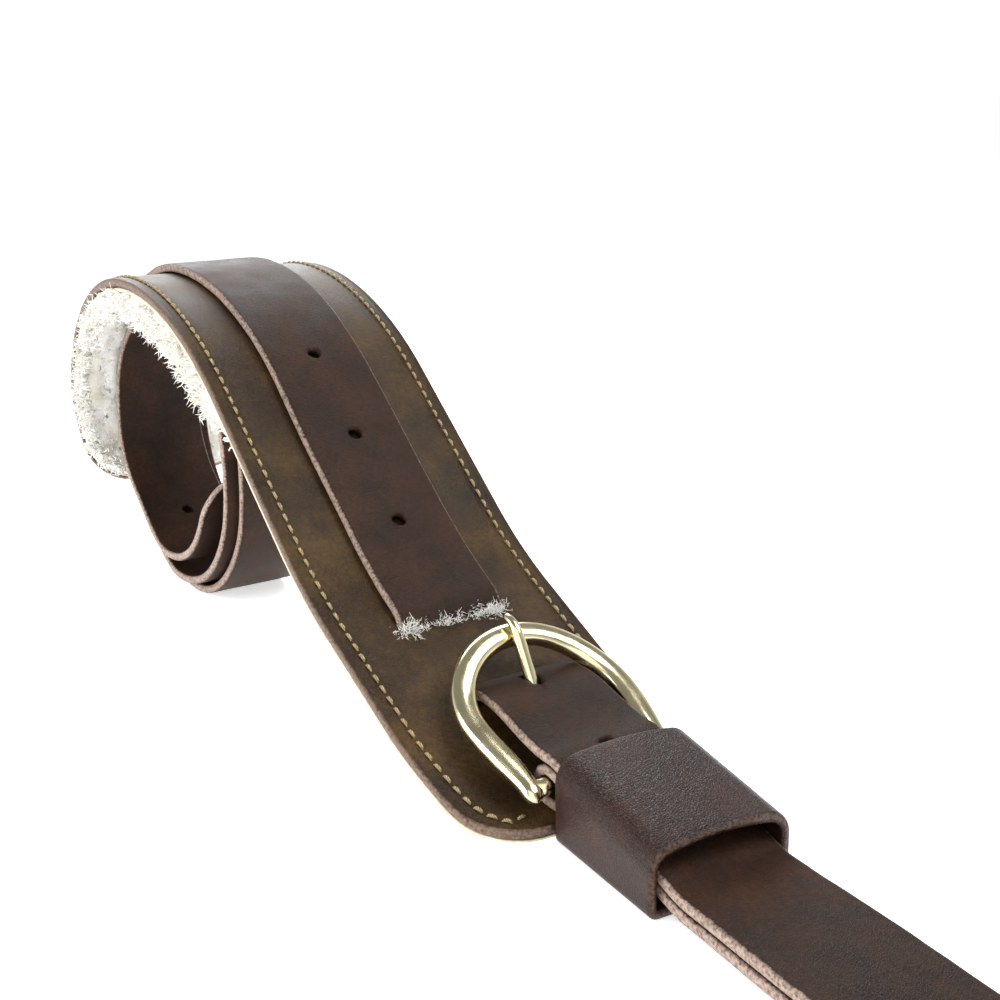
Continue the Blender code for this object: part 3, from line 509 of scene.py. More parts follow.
def strap_piece(name, path, places, half, holes, material, low=None, high=None, more=()):
    """One strap: its stations, its punched holes and a slight unevenness of the hide."""
    columns = STRAP_COLUMNS
    cell = 2 * (STRAP_WIDTH / 2 - STRAP_THICK * 0.4) / (columns - 1)
    spread = with_holes(places, holes, cell)
    width = np.interp(spread, places, half)
    low = np.full(len(spread), -STRAP_THICK / 2) if low is None else np.interp(spread, places, low)
    high = np.full(len(spread), STRAP_THICK / 2) if high is None else np.interp(spread, places, high)
    middle = (columns - 1) // 2
    openings = list(more(spread)) if more else []
    for place, length in holes:
        i = int(np.argmin(np.abs(spread - place)))
        rows = (i - 2, i + 2)
        openings.append((rows, rows, (middle - 2, middle + 2),
                         hole_outline(place, 0.0, length, HOLE_DIAMETER)))
    section = flat_section(width, low, high, columns)

    def worn(points, along, across, lift):
        """Edges that wander by 0.2 mm and a face that is not quite flat."""
        points[:, 1] += 0.00022 * wave(points, 0.045, 1.0) * (np.abs(across) > 0.012)
        return points + 0.00005 * wave(points, 0.011, 2.0)[:, None] * np.array([0.5, 0.0, 1.0])
    return pierced_band(name, path, spread, section, openings, columns, material, worn)


def stitches(middles, ways, normals, length, thick):
    """Sewn stitches: each is a short bead of thread, round across, whose radius follows the
    root of one minus the squared place along it, and which dips into the leather at its ends."""
    t = np.linspace(-1.0, 1.0, 7)
    turn = np.arange(6) * math.tau / 6
    sides = np.cross(ways, normals)
    radius = thick / 2 * np.sqrt(1.0 - (t * 0.96) ** 2) + thick * 0.06
    drop = -thick * 0.75 * t ** 4
    line = (middles[:, None] + ways[:, None] * (t * length / 2)[None, :, None]
            + normals[:, None] * drop[None, :, None])
    ring = (sides[:, None, None] * np.cos(turn)[None, None, :, None]
            + normals[:, None, None] * np.sin(turn)[None, None, :, None])
    return line[:, :, None] + ring * radius[None, :, None, None]


def many_tubes(tubes):
    """Points and faces of many equal capped tubes, from an array tube, ring, side, axis."""
    count, rings, sides, _ = tubes.shape
    one = tube_faces(rings, sides).reshape(-1, 4)
    starts = np.arange(count)[:, None] * rings * sides
    quads = (one[None] + starts[:, :, None]).reshape(-1, 4).tolist()
    low = (np.arange(sides)[None] + starts).tolist()
    high = (np.arange(sides)[None] + starts + (rings - 1) * sides).tolist()
    return tubes.reshape(-1, 3), quads + low + high


def curls(roots, ways, lengths, thick, seed, curl=0.0011, turns=1.1):
    """Locks of wool: each middle line goes out along its way and winds round it, wider
    towards the tip, and its radius falls as the square root of what is left of its length."""
    rng = np.random.default_rng(seed)
    count = len(roots)
    t = np.linspace(0.0, 1.0, 5)
    other = np.cross(ways, rng.normal(size=(count, 3)))
    other /= np.linalg.norm(other, axis=1)[:, None]
    third = np.cross(ways, other)
    start = rng.uniform(0, math.tau, count)[:, None]
    wind = start + math.tau * (turns * rng.uniform(0.6, 1.5, count))[:, None] * t
    wide = curl * rng.uniform(0.5, 1.3, count)[:, None] * t ** 0.8
    line = (roots[:, None] + ways[:, None] * (lengths[:, None] * t)[..., None]
            + other[:, None] * (wide * (np.cos(wind) - np.cos(start)))[..., None]
            + third[:, None] * (wide * (np.sin(wind) - np.sin(start)))[..., None])
    ahead = np.gradient(line, axis=1)
    ahead /= np.linalg.norm(ahead, axis=2)[..., None] + 1e-12
    first = np.cross(ahead, other[:, None])
    first /= np.linalg.norm(first, axis=2)[..., None] + 1e-12
    second = np.cross(ahead, first)
    turn = np.arange(4) * math.tau / 4
    radius = thick * rng.uniform(0.6, 1.3, count)[:, None] * np.sqrt(1.02 - t)
    ring = (first[:, :, None] * np.cos(turn)[None, None, :, None]
            + second[:, :, None] * np.sin(turn)[None, None, :, None])
    tubes = line[:, :, None] + ring * radius[:, :, None, None]
    tubes[..., 2] = np.maximum(tubes[..., 2], 0.0002)
    return tubes


# --- Materials --------------------------------------------------------------------------

def linear(colour):
    """Linear colour of an sRGB hex value or of a colour property."""
    if isinstance(colour, str):
        parts = np.array([int(colour[i:i + 2], 16) for i in (1, 3, 5)]) / 255
        return tuple(np.where(parts < 0.04045, parts / 12.92, ((parts + 0.055) / 1.055) ** 2.4))
    return tuple(colour)[:3]


def add_node(tree, kind, settings=None, **links):
    """A node with its settings and inputs; an input given a socket is linked to it."""
    node = tree.nodes.new(kind)
    for key, value in (settings or {}).items():
        setattr(node, key, value)
    for key, value in links.items():
        socket = node.inputs[int(key[1:])] if key[0] == "i" and key[1:].isdigit() else \
            node.inputs[key.replace("_", " ")]
        if isinstance(value, bpy.types.NodeSocket):
            tree.links.new(value, socket)
        else:
            socket.default_value = value
    return node


def ramp(tree, value, stops):
    """Colour ramp over a value, from pairs of place and hex colour."""
    node = add_node(tree, "ShaderNodeValToRGB", None, i0=value)
    band = node.color_ramp
    while len(band.elements) < len(stops):
        band.elements.new(0.5)
    for element, (place, colour) in zip(band.elements, stops):
        element.position = place
        element.color = (*linear(colour), 1.0)
    return node.outputs[0]


def new_material(name):
    """A material with its tree, shader and Object coordinates."""
    material = bpy.data.materials.new(name)
    material.use_nodes = True
    tree = material.node_tree
    place = add_node(tree, "ShaderNodeTexCoord").outputs["Object"]
    return material, tree, tree.nodes["Principled BSDF"], place


def leather(name, dark, mid, light, raw, rough, pore_mm, pore_depth, wear, coat=0.0):
    """Vegetable-tanned leather, dyed and waxed. Its dye is uneven over centimetres, its
    grain is small closed cells, its raw cut edges are paler, and its gloss breaks up."""
    material, tree, shader, place = new_material(name)
    broad = add_node(tree, "ShaderNodeTexNoise", None, Vector=place, Scale=55.0, Detail=6.0,
                     Roughness=0.62)
    base = ramp(tree, broad.outputs[0], [(0.30, dark), (0.50, mid), (0.74, light)])
    fine = add_node(tree, "ShaderNodeTexNoise", None, Vector=place, Scale=900.0, Detail=4.0)
    speck = ramp(tree, fine.outputs[0], [(0.35, "#9A9A9A"), (0.62, "#FFFFFF")])
    tone = add_node(tree, "ShaderNodeMix", {"data_type": "RGBA", "blend_type": "MULTIPLY"},
                    i0=0.55, i6=base, i7=speck)
    edge = add_node(tree, "ShaderNodeAttribute", {"attribute_name": "edge"}).outputs["Fac"]
    fleck = add_node(tree, "ShaderNodeTexNoise", None, Vector=place, Scale=1300.0, Detail=3.0)
    rough_edge = add_node(tree, "ShaderNodeMath", {"operation": "MULTIPLY"}, i0=edge,
                          i1=fleck.outputs[0])
    worn = add_node(tree, "ShaderNodeMapRange", None, Value=rough_edge.outputs[0],
                    From_Min=0.20, From_Max=0.58, To_Max=0.95)
    colour = add_node(tree, "ShaderNodeMix", {"data_type": "RGBA"}, i0=worn.outputs[0],
                      i6=tone.outputs[2], i7=(*linear(raw), 1.0))
    tree.links.new(colour.outputs[2], shader.inputs["Base Color"])
    cells = add_node(tree, "ShaderNodeTexVoronoi", {"feature": "DISTANCE_TO_EDGE"},
                     Vector=place, Scale=1000.0 / pore_mm)
    groove = add_node(tree, "ShaderNodeMapRange", None, Value=cells.outputs[0], From_Min=0.0,
                      From_Max=0.25)
    crease = add_node(tree, "ShaderNodeTexNoise", None, Vector=place, Scale=260.0, Detail=7.0)
    height = add_node(tree, "ShaderNodeMath", {"operation": "MULTIPLY_ADD"},
                      i0=crease.outputs[0], i1=wear, i2=groove.outputs[0])
    bump = add_node(tree, "ShaderNodeBump", None, Strength=0.75, Distance=pore_depth / 1000.0,
                    Height=height.outputs[0])
    tree.links.new(bump.outputs[0], shader.inputs["Normal"])
    gloss = add_node(tree, "ShaderNodeMapRange", None, Value=broad.outputs[0], From_Min=0.3,
                     From_Max=0.7, To_Min=rough - 0.07, To_Max=rough + 0.10)
    tree.links.new(gloss.outputs[0], shader.inputs["Roughness"])
    shader.inputs["Specular IOR Level"].default_value = 0.15
    shader.inputs["Coat Weight"].default_value = coat
    shader.inputs["Coat Roughness"].default_value = 0.34
    return material


def wool_material(name, dark, light):
    """Shorn sheepskin wool. The crimped fibres scatter light, so it is matt and nearly
    white, with a soft sheen and a creamier tone deep between the locks."""
    material, tree, shader, place = new_material(name)
    broad = add_node(tree, "ShaderNodeTexNoise", None, Vector=place, Scale=160.0, Detail=5.0)
    base = ramp(tree, broad.outputs[0], [(0.32, dark), (0.60, light)])
    tree.links.new(base, shader.inputs["Base Color"])
    fibres = add_node(tree, "ShaderNodeTexNoise", None, Vector=place, Scale=1500.0, Detail=6.0,
                      Distortion=1.5)
    bump = add_node(tree, "ShaderNodeBump", None, Strength=0.9, Distance=0.0006,
                    Height=fibres.outputs[0])
    tree.links.new(bump.outputs[0], shader.inputs["Normal"])
    shader.inputs["Roughness"].default_value = 0.95
    shader.inputs["Sheen Weight"].default_value = 0.35
    shader.inputs["Subsurface Weight"].default_value = 0.25
    shader.inputs["Subsurface Radius"].default_value = (0.002, 0.0018, 0.0014)
    return material


def thread_material():
    """Waxed linen thread, 0.8 mm, laid from two plies: fine slanting ridges, with painted shade that
    darkens the colour in the grooves between them, and a dull shine.
    """
    material, tree, shader, place = new_material("waxed_linen_thread")
    plies = add_node(tree, "ShaderNodeTexWave", {"bands_direction": "DIAGONAL"}, Vector=place,
                     Scale=900.0, Distortion=1.0)
    # painted shade: the colour follows the ply ridges and is darker in the grooves between them
    base = ramp(tree, plies.outputs[1], [(0.15, "#74623F"), (0.75, "#AD9A70")])
    tree.links.new(base, shader.inputs["Base Color"])
    bump = add_node(tree, "ShaderNodeBump", None, Strength=0.6, Distance=0.0002,
                    Height=plies.outputs[1])
    tree.links.new(bump.outputs[0], shader.inputs["Normal"])
    shader.inputs["Roughness"].default_value = 0.62
    return material


def plate_material(colour):
    """Warm nickel plate over brass, polished. Handling leaves fine scratches and a slight
    clouding, so the mirror is soft."""
    material, tree, shader, place = new_material("warm_nickel_plate")
    shader.inputs["Base Color"].default_value = (*linear(colour), 1.0)
    shader.inputs["Metallic"].default_value = 1.0
    haze = add_node(tree, "ShaderNodeTexNoise", None, Vector=place, Scale=240.0, Detail=6.0)
    dull = add_node(tree, "ShaderNodeMapRange", None, Value=haze.outputs[0], From_Min=0.3,
                    From_Max=0.75, To_Min=0.12, To_Max=0.27)
    tree.links.new(dull.outputs[0], shader.inputs["Roughness"])
    stretch = add_node(tree, "ShaderNodeMapping", None, Vector=place, Scale=(300.0, 2400.0, 900.0))
    scratch = add_node(tree, "ShaderNodeTexNoise", None, Vector=stretch.outputs[0], Scale=1.0,
                       Detail=3.0)
    bump = add_node(tree, "ShaderNodeBump", None, Strength=0.12, Distance=0.0001,
                    Height=scratch.outputs[0])
    tree.links.new(bump.outputs[0], shader.inputs["Normal"])
    return material


def hide_material():
    """The sheepskin's own hide, tanned white: a thin chalky skin with a suede-like nap."""
    material, tree, shader, place = new_material("tanned_sheepskin_hide")
    nap = add_node(tree, "ShaderNodeTexNoise", None, Vector=place, Scale=600.0, Detail=5.0)
    base = ramp(tree, nap.outputs[0], [(0.3, "#B8A98E"), (0.7, "#DCD2BC")])
    tree.links.new(base, shader.inputs["Base Color"])
    bump = add_node(tree, "ShaderNodeBump", None, Strength=0.5, Distance=0.0002,
                    Height=nap.outputs[0])
    tree.links.new(bump.outputs[0], shader.inputs["Normal"])
    shader.inputs["Roughness"].default_value = 0.9
    return material


def floor_material():
    """Matt white studio paper: almost even, with the faintest mottling."""
    material, tree, shader, place = new_material("white_studio_paper")
    tone = add_node(tree, "ShaderNodeTexNoise", None, Vector=place, Scale=3.0)
    base = ramp(tree, tone.outputs[0], [(0.2, "#FBFBFB"), (0.8, "#FDFDFD")])
    tree.links.new(base, shader.inputs["Base Color"])
    shader.inputs["Roughness"].default_value = 0.9
    shader.inputs["Emission Color"].default_value = (1.0, 1.0, 1.0, 1.0)
    shader.inputs["Emission Strength"].default_value = 0.58
    return material


def material_named(name, make, *values):
    """The material if it is there already, or a new one."""
    return bpy.data.materials.get(name) or make(*values)


# --- The girth's own sizes --------------------------------------------------------------

def place_at_bar(path):
    """Length along a strap's path to the heel bar."""
    return arc_length(path)[int(np.argmax(path[:, 0] <= 0.0))]


def tongue_line():
    """Middle of the tongue, from its eye to its tip."""
    start = (-(EYE_OUTER - TONGUE_EYE_WALL * 0.8), BAR_Z + TONGUE_DIAMETER * 0.35)
    return bend_curve(start, TONGUE_HEADING, TONGUE_BENDS, 0.0006)


def tongue_crossing():
    """Where the tongue passes the strap's middle, and how long a hole it needs there."""
    tongue = tongue_line()
    along = arc_length(UPPER_PATH)
    span = (UPPER_PATH[:, 0] < 0.0) & (along < place_at_bar(UPPER_PATH) + 2 * HOLE_PITCH)
    rows, tilt = UPPER_PATH[span], headings(UPPER_PATH[:, :2])[span]
    apart = np.linalg.norm(rows[:, None, :2] - tongue[None, :, :2], axis=2)
    row, point = np.unravel_index(np.argmin(apart), apart.shape)
    steep = abs(tongue[point, 2] - tilt[row])
    length = TONGUE_DIAMETER / math.sin(steep) + STRAP_THICK / math.tan(steep)
    return along[span][row], length + 2 * TONGUE_HOLE_CLEAR


def round_tip(places, length, both=True):
    """Half width of a strap with round tips: the chord of a circle of its half width."""
    radius = STRAP_WIDTH / 2
    ends = np.minimum(places, length - places) if both else places
    inside = np.clip(radius - ends, 0.0, radius)
    return np.maximum(np.sqrt(radius ** 2 - inside ** 2), 0.0006)


def tip_stations(length, both=True):
    """Stations along a strap, closer together at its round tips."""
    start = STRAP_WIDTH / 2 * (1.0 - np.cos(np.linspace(0.04, math.pi / 2, 16)))
    body = np.arange(start[-1] + 0.002, length - (start[-1] if both else 0.0), 0.002)
    return np.concatenate([start, body, length - start[::-1] if both else [length]])


def pad_half_width(places, length, inset=0.0):
    """Half width of the pad: rounded corners and a slight taper at both ends."""
    ends = np.minimum(places, length - places)
    inside = np.clip(PAD_CORNER - ends, 0.0, PAD_CORNER)
    corner = PAD_CORNER - np.sqrt(PAD_CORNER ** 2 - inside ** 2)
    taper = PAD_END_TAPER * (1.0 - smooth(ends / PAD_TAPER_LENGTH))
    return PAD_WIDTH / 2 - corner - taper - inset


def pad_stations(step):
    """Stations along the pad, closer together at its rounded corners."""
    length = arc_length(PAD_LINE)[-1]
    start = PAD_CORNER * (1.0 - np.cos(np.linspace(0.0, math.pi / 2, 12)))
    body = np.arange(start[-1] + step, length - start[-1] - step / 2, step)
    return np.concatenate([start, body, length - start[::-1]]), length


def pad_depth(along):
    """How deep the lining is at a length along the pad, under the leather."""
    base = arc_length(PAD_LINE)
    x, z = (np.interp(along, base, PAD_LINE[:, k]) for k in (0, 1))
    angle = np.interp(along, base, headings(PAD_LINE[:, :2]))
    room = z / np.maximum(np.cos(angle), 0.05) - PAD_THICK - GAP
    rising = along < base[np.argmax(PAD_LINE[:, 1])]
    depth = np.where(rising, np.minimum(room, LINING_THICK), LINING_THICK)
    inner = coil_curve()[COIL_INSIDE:, :2]
    apart = np.linalg.norm(np.stack([x, z], -1)[:, None] - inner[None], axis=2).min(axis=1)
    return np.minimum(depth, apart - STRAP_THICK / 2 - PAD_THICK - 3 * GAP)


def under_strap(along, across):
    """How far the lining is pushed down where the strap runs between it and the leather."""
    run = smooth((along - SLOT_B + 0.012) / 0.008) * smooth((SLOT_A + 0.010 - along) / 0.012)
    middle = SIDE_STEP * (1.0 - smooth((along - 0.045) / 0.02))
    wide = smooth((STRAP_WIDTH / 2 + 0.004 - np.abs(across - middle)) / 0.003)
    return (STRAP_THICK + GAP + 2 * SLOT_CLEAR) * run * wide


def keeper_inside_top(x):
    """Least inside height of the keeper at a place along the girth."""
    rows = resample(UPPER_PATH, np.arange(0.0, place_at_bar(UPPER_PATH), 0.001))
    face = offset(rows, STRAP_THICK / 2)[::-1]
    return float(np.interp(x, face[:, 0], face[:, 1])) + KEEPER_CLEAR


PAD_PATH, COIL_CENTRE = pad_top()
PAD_LINE = np.column_stack([PAD_PATH[:, :2], np.zeros(len(PAD_PATH))])
BAR_Z = bar_height()
SLIDE_END = KEEPER_START + KEEPER_LENGTH + KEEPER_TRAVEL
CREW_HALF = TONGUE_DIAMETER * 0.65 + GAP
UPPER_PATH = upper_curve()
LOWER_PATH = lower_curve()
LOWER_ALONG = arc_length(LOWER_PATH)
LOWER_BAR = int(np.argmax(LOWER_PATH[:, 0] <= 0.0))


# --- Operators --------------------------------------------------------------------------

class GirthSizes(bpy.types.PropertyGroup):
    """Sizes that a maker would change"""
    stitch_length: FloatProperty(name="Stitch length", default=0.0027, unit="LENGTH",
                                 description="Length of one visible stitch")
    stitch_pitch: FloatProperty(name="Stitch pitch", default=0.0037, unit="LENGTH",
                                description="From one stitch to the next")
    thread: FloatProperty(name="Thread", default=0.00085, unit="LENGTH",
                          description="Thickness of the sewing thread")
    edge_locks: IntProperty(name="Edge locks", default=4400, min=0,
                            description="Locks of wool along the pad's two edges")
    face_locks: IntProperty(name="Face locks", default=4400, min=0,
                            description="Locks of wool on the lining's open face")
    lock_length: FloatProperty(name="Lock length", default=0.0052, unit="LENGTH",
                               description="Length of a lock of wool")


class GirthColours(bpy.types.PropertyGroup):
    """Colours of the girth's finishes"""
    plate: FloatVectorProperty(name="Plate", subtype="COLOR", size=3, min=0, max=1,
                               default=linear("#D9CFA9"),
                               description="Colour of the buckle's plate")


def strap_leather():
    """The dark brown strap leather."""
    return material_named("bridle_leather_dark_brown", leather, "bridle_leather_dark_brown",
                          "#1B0E07", "#2E1B10", "#3F2819", "#AD978A", 0.50, 0.55, 0.12, 0.7,
                          0.02)


def along_slot(item, slot, body, *nodes):
    """Give a piece its body and hide the solids it stands for; the slot is not used."""
    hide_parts(*nodes)
    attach(item, body)


class GIRTH_OT_pad(bpy.types.Operator):
    """Make the pad's leather, with its slots and its stitching groove"""
    bl_idname = "girth.pad"
    bl_label = "Pad leather"

    def execute(self, context):
        places, length = pad_stations(0.0016)
        half = pad_half_width(places, length)
        columns = PAD_COLUMNS
        low = np.full(len(places), -PAD_THICK)
        across, lift, edge = flat_section(half, low, low * 0, columns)
        topside = lift > -1e-9
        inset = half[:, None] - np.abs(across)
        fade = np.minimum(places, length - places)[:, None] > STITCH_INSET
        groove = np.exp(-((inset - STITCH_INSET) / 0.0007) ** 2) * fade
        crown = 0.0005 * smooth(inset / 0.004)
        lift += topside * (-0.00035 * groove + crown - 0.0005)
        openings = [self.slot(places, across, SLOT_A, 1, 0.0),
                    self.slot(places, across, SLOT_B, -1, SIDE_STEP)]
        item = pierced_band("girth_pad_leather", PAD_LINE, places, (across, lift, edge), openings,
                            columns, material_named(
                                "bridle_leather_olive_brown", leather,
                                "bridle_leather_olive_brown", "#25170A", "#3A2913", "#553F1E",
                                "#7A6558", 0.40, 0.6, 0.12, 0.6, 0.06))
        along_slot(item, "olive_brown_leather", "girth", "pad_leather")
        return {"FINISHED"}

    def slot(self, places, across, at, way, middle):
        """Block of cells that a slanting slot drops from the top and from the bottom."""
        rows = []
        for near, far in ((0.0004, 0.0072), (-0.0034, 0.0034)):
            first = min(at + way * near, at + way * far)
            start = int(np.argmin(np.abs(places - first)))
            rows.append((start, start + 4))
        row = across[rows[0][0]]
        half = STRAP_WIDTH / 2 + SLOT_CLEAR
        c = int(np.argmin(np.abs(row[:PAD_COLUMNS] - middle + half)))
        d = int(np.argmin(np.abs(row[:PAD_COLUMNS] - middle - half)))

        def outline(along, place):
            """The block's two sides moved to the slot's width."""
            return along, np.where(np.abs(place - middle) > half - 0.0008,
                                   middle + np.sign(place - middle) * half, place)
        return rows[0], rows[1], (c, d), outline


class GIRTH_OT_stitching(bpy.types.Operator):
    """Sew the pad's two rows of stitches, the fold's two rows and the keeper's seam"""
    bl_idname = "girth.stitching"
    bl_label = "Stitching"

    def execute(self, context):
        sizes = context.scene.girth_sizes
        thread = material_named("waxed_linen_thread", thread_material)
        for name, side in (("stitching_near", -1.0), ("stitching_far", 1.0)):
            self.pad_row(sizes, name, side, thread)
        for name, x in (("chape_stitching_bar", SEAM_NEAR_BAR), ("chape_stitching_end", SEAM_FAR)):
            y = np.arange(-SEAM_LENGTH / 2 + 0.0015, SEAM_LENGTH / 2, sizes.stitch_pitch)
            along = np.interp(x, LOWER_PATH[:LOWER_BAR, 0][::-1], LOWER_ALONG[:LOWER_BAR][::-1])
            top = carried(LOWER_PATH, np.full(len(y), along), y,
                          STRAP_THICK / 2 - sizes.thread * 0.45)
            ways = np.tile((0.0, 1.0, 0.0), (len(y), 1))
            ups = np.tile((0.0, 0.0, 1.0), (len(y), 1))
            self.sew(name, top, ways, ups, sizes, thread, "girth", name)
        x = np.arange(-KEEPER_SEAM / 2 + 0.0015, KEEPER_SEAM / 2, sizes.stitch_pitch)
        low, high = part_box("keeper_seam")
        middle = np.array((low + high) / 2)
        yaw = math.radians(RUN_YAW)
        way = np.array((math.cos(yaw), math.sin(yaw), 0.0))
        points = middle + x[:, None] * way
        self.sew("keeper_seam", points, np.tile(way, (len(x), 1)),
                 np.tile((0.0, 0.0, 1.0), (len(x), 1)), sizes, thread, "keeper_band", "keeper_seam")
        return {"FINISHED"}

    def pad_row(self, sizes, name, side, thread):
        """A row along one long edge that turns in at both ends, as far as the strap."""
        places, length = pad_stations(0.001)
        body = places[(places >= STITCH_INSET) & (places <= length - STITCH_INSET)]
        y = side * pad_half_width(body, length, STITCH_INSET)
        turned = []
        for end in (0, -1):
            stop = side * (STRAP_WIDTH / 2 + 0.0022)
            turned.append(np.array([[body[end], stop]]))
        line = np.concatenate([turned[0], np.stack([body, y], 1), turned[1]])
        steps = np.concatenate([[0.0], np.cumsum(np.hypot(*np.diff(line, axis=0).T))])
        at = np.arange(0.0015, steps[-1] - 0.001, sizes.stitch_pitch)
        ends = [np.stack([np.interp(at + k, steps, line[:, c]) for c in (0, 1)], 1)
                for k in (-0.0002, 0.0, 0.0002)]
        height = sizes.thread * 0.25
        points = [carried(PAD_LINE, e[:, 0], e[:, 1], height) for e in ends]
        lifted = carried(PAD_LINE, ends[1][:, 0], ends[1][:, 1], height + 0.001)
        ways = points[2] - points[0]
        ways /= np.linalg.norm(ways, axis=1)[:, None]
        normals = (lifted - points[1]) / 0.001
        self.sew(name, points[1], ways, normals, sizes, thread, "girth", name)

    def sew(self, name, points, ways, normals, sizes, thread, body, node):
        """One row of stitches as a piece."""
        slant = np.cross(normals, ways) * 0.10
        ways = ways + slant
        ways /= np.linalg.norm(ways, axis=1)[:, None]
        tubes = stitches(points, ways, normals, sizes.stitch_length, sizes.thread)
        item = add_piece(f"girth_{name}", *many_tubes(tubes), thread)
        along_slot(item, "beige_thread", body, node)


class GIRTH_OT_lining(bpy.types.Operator):
    """Make the sheepskin lining: its hide, its pile and the locks of wool that show"""
    bl_idname = "girth.lining"
    bl_label = "Sheepskin lining"

    def execute(self, context):
        sizes = context.scene.girth_sizes
        places, length = pad_stations(0.0018)
        depth = pad_depth(places)
        columns = LINING_COLUMNS
        hide = material_named("tanned_sheepskin_hide", hide_material)
        skin_low = -(PAD_THICK + GAP + np.minimum(SKIN_THICK, depth * 0.4))
        half = pad_half_width(places, length, LINING_INSET)
        top = np.full(len(places), -(PAD_THICK + GAP))
        skin = self.band("girth_sheepskin_hide", places, half, skin_low, top, columns, hide, 0.0)
        along_slot(skin, "sheepskin_hide", "girth", "sheepskin_skin")
        wool = material_named("sheepskin_wool", wool_material, "sheepskin_wool", "#EDE8DA",
                              "#FFFEFA")
        pile_low = -(PAD_THICK + GAP + depth)
        hidden = PILE_SET_IN * (1.0 - smooth((places - OPEN_FROM[0]) / OPEN_FROM[1]))
        pile = self.band("girth_wool_pile", places, half - 0.0004 - hidden, pile_low,
                         skin_low - GAP * 0.3, columns, wool, 0.0009)
        along_slot(pile, "cream_wool", "girth", "wool_pile")
        edge = self.edge_locks(sizes, length)
        item = add_piece("girth_wool_fringe", *many_tubes(edge), wool)
        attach(item, "girth")
        face = self.face_locks(sizes, length)
        item = add_piece("girth_wool_locks", *many_tubes(face), wool)
        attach(item, "girth")
        item = add_piece("girth_slot_wool", *many_tubes(self.slot_tufts()), wool)
        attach(item, "girth")
        return {"FINISHED"}

    def band(self, name, places, half, low, high, columns, material, rough):
        """A layer of the lining, pushed down under the strap and uneven on its wool side."""
        across, lift, edge = flat_section(half, low, high, columns)
        along = np.repeat(places[:, None], across.shape[1], axis=1)
        lift = lift - under_strap(along, across)

        def fleece(points, along, across, lift):
            """The wool side moved in and out by two sizes of unevenness."""
            here = points.reshape(-1, 3)
            fine = wave(here, 0.006, 3.0) + 0.6 * wave(here, 0.0028, 5.0)
            inner = carried(PAD_LINE, along, across, lift - 0.001).reshape(-1, 3) - here
            deep = np.clip((-lift - PAD_THICK - SKIN_THICK) / 0.002, 0.0, 1.0)
            return here + inner * (rough * fine * deep * 1000.0 * 0.6)[:, None]
        return pierced_band(name, PAD_LINE, places, (across, lift, edge), [], columns, material,
                            fleece if rough else None)

    def edge_locks(self, sizes, length):
        """Locks that grow out from under both long edges and both ends of the pad."""
        rng = np.random.default_rng(11)
        count = sizes.edge_locks
        along = rng.uniform(0.004, length - 0.001, count)
        near = rng.random(count) < 0.62
        side = np.where(near, -1.0, 1.0)
        depth = pad_depth(along)
        inside = smooth((along - 0.13) / 0.04)
        along = np.where(rng.random(count) < 0.72 * (1.0 - inside), rng.uniform(
            0.16, length - 0.001, count), along)
        inside = smooth((along - 0.13) / 0.04)
        share = rng.uniform(0.12, 1.0, count)
        drop = PAD_THICK + GAP + depth * share
        half = pad_half_width(along, length, LINING_INSET)
        across = side * (half - rng.uniform(0.0008, 0.0035, count) - 0.0045 * (1.0 - inside))
        roots = carried(PAD_LINE, along, across, -drop)
        inward = carried(PAD_LINE, along, across, -drop - 0.001) - roots
        inward /= np.linalg.norm(inward, axis=1)[:, None]
        out = np.stack([np.zeros(count), side, np.zeros(count)], 1)
        ways = (out * rng.uniform(0.5, 1.1, count)[:, None]
                + inward * (rng.uniform(-0.15, 0.8, count) * (0.25 + inside))[:, None]
                + rng.normal(size=(count, 3)) * 0.30)
        ways /= np.linalg.norm(ways, axis=1)[:, None]
        long = sizes.lock_length * rng.uniform(0.45, 1.0, count) * (0.24 + 0.76 * inside)
        long = np.minimum(long, 0.0012 + depth * 0.9)
        floor = np.maximum(roots[:, 2] - 0.0016, 0.0002)
        falls = np.where(ways[:, 2] < -0.05, floor / np.maximum(-ways[:, 2], 0.05), 1.0)
        long = np.minimum(long, falls)
        return curls(roots, ways, long, 0.00034, 5)

    def face_locks(self, sizes, length):
        """Locks on the open face inside the coiled end and round the pad's far end."""
        rng = np.random.default_rng(23)
        count = sizes.face_locks
        along = 0.15 + (length - 0.15) * rng.random(count) ** 0.75
        half = pad_half_width(along, length, LINING_INSET)
        across = half * rng.uniform(-1.0, 1.0, count)
        depth = pad_depth(along)
        drop = PAD_THICK + GAP + depth - 0.0006
        roots = carried(PAD_LINE, along, across, -drop)
        inward = carried(PAD_LINE, along, across, -drop - 0.001) - roots
        inward /= np.linalg.norm(inward, axis=1)[:, None]
        ways = inward + rng.normal(size=(count, 3)) * 0.55
        ways /= np.linalg.norm(ways, axis=1)[:, None]
        inner = coil_curve()[COIL_INSIDE - 40:, :2] + np.array([BAR_X, 0.0])
        apart = np.linalg.norm(roots[:, None, ::2] - inner[None], axis=2).min(axis=1)
        room = np.maximum(apart - STRAP_THICK / 2 - 0.0012, 0.0002)
        long = np.minimum(sizes.lock_length * rng.uniform(0.4, 0.9, count), room)
        return curls(roots, ways, long, 0.00036, 7)

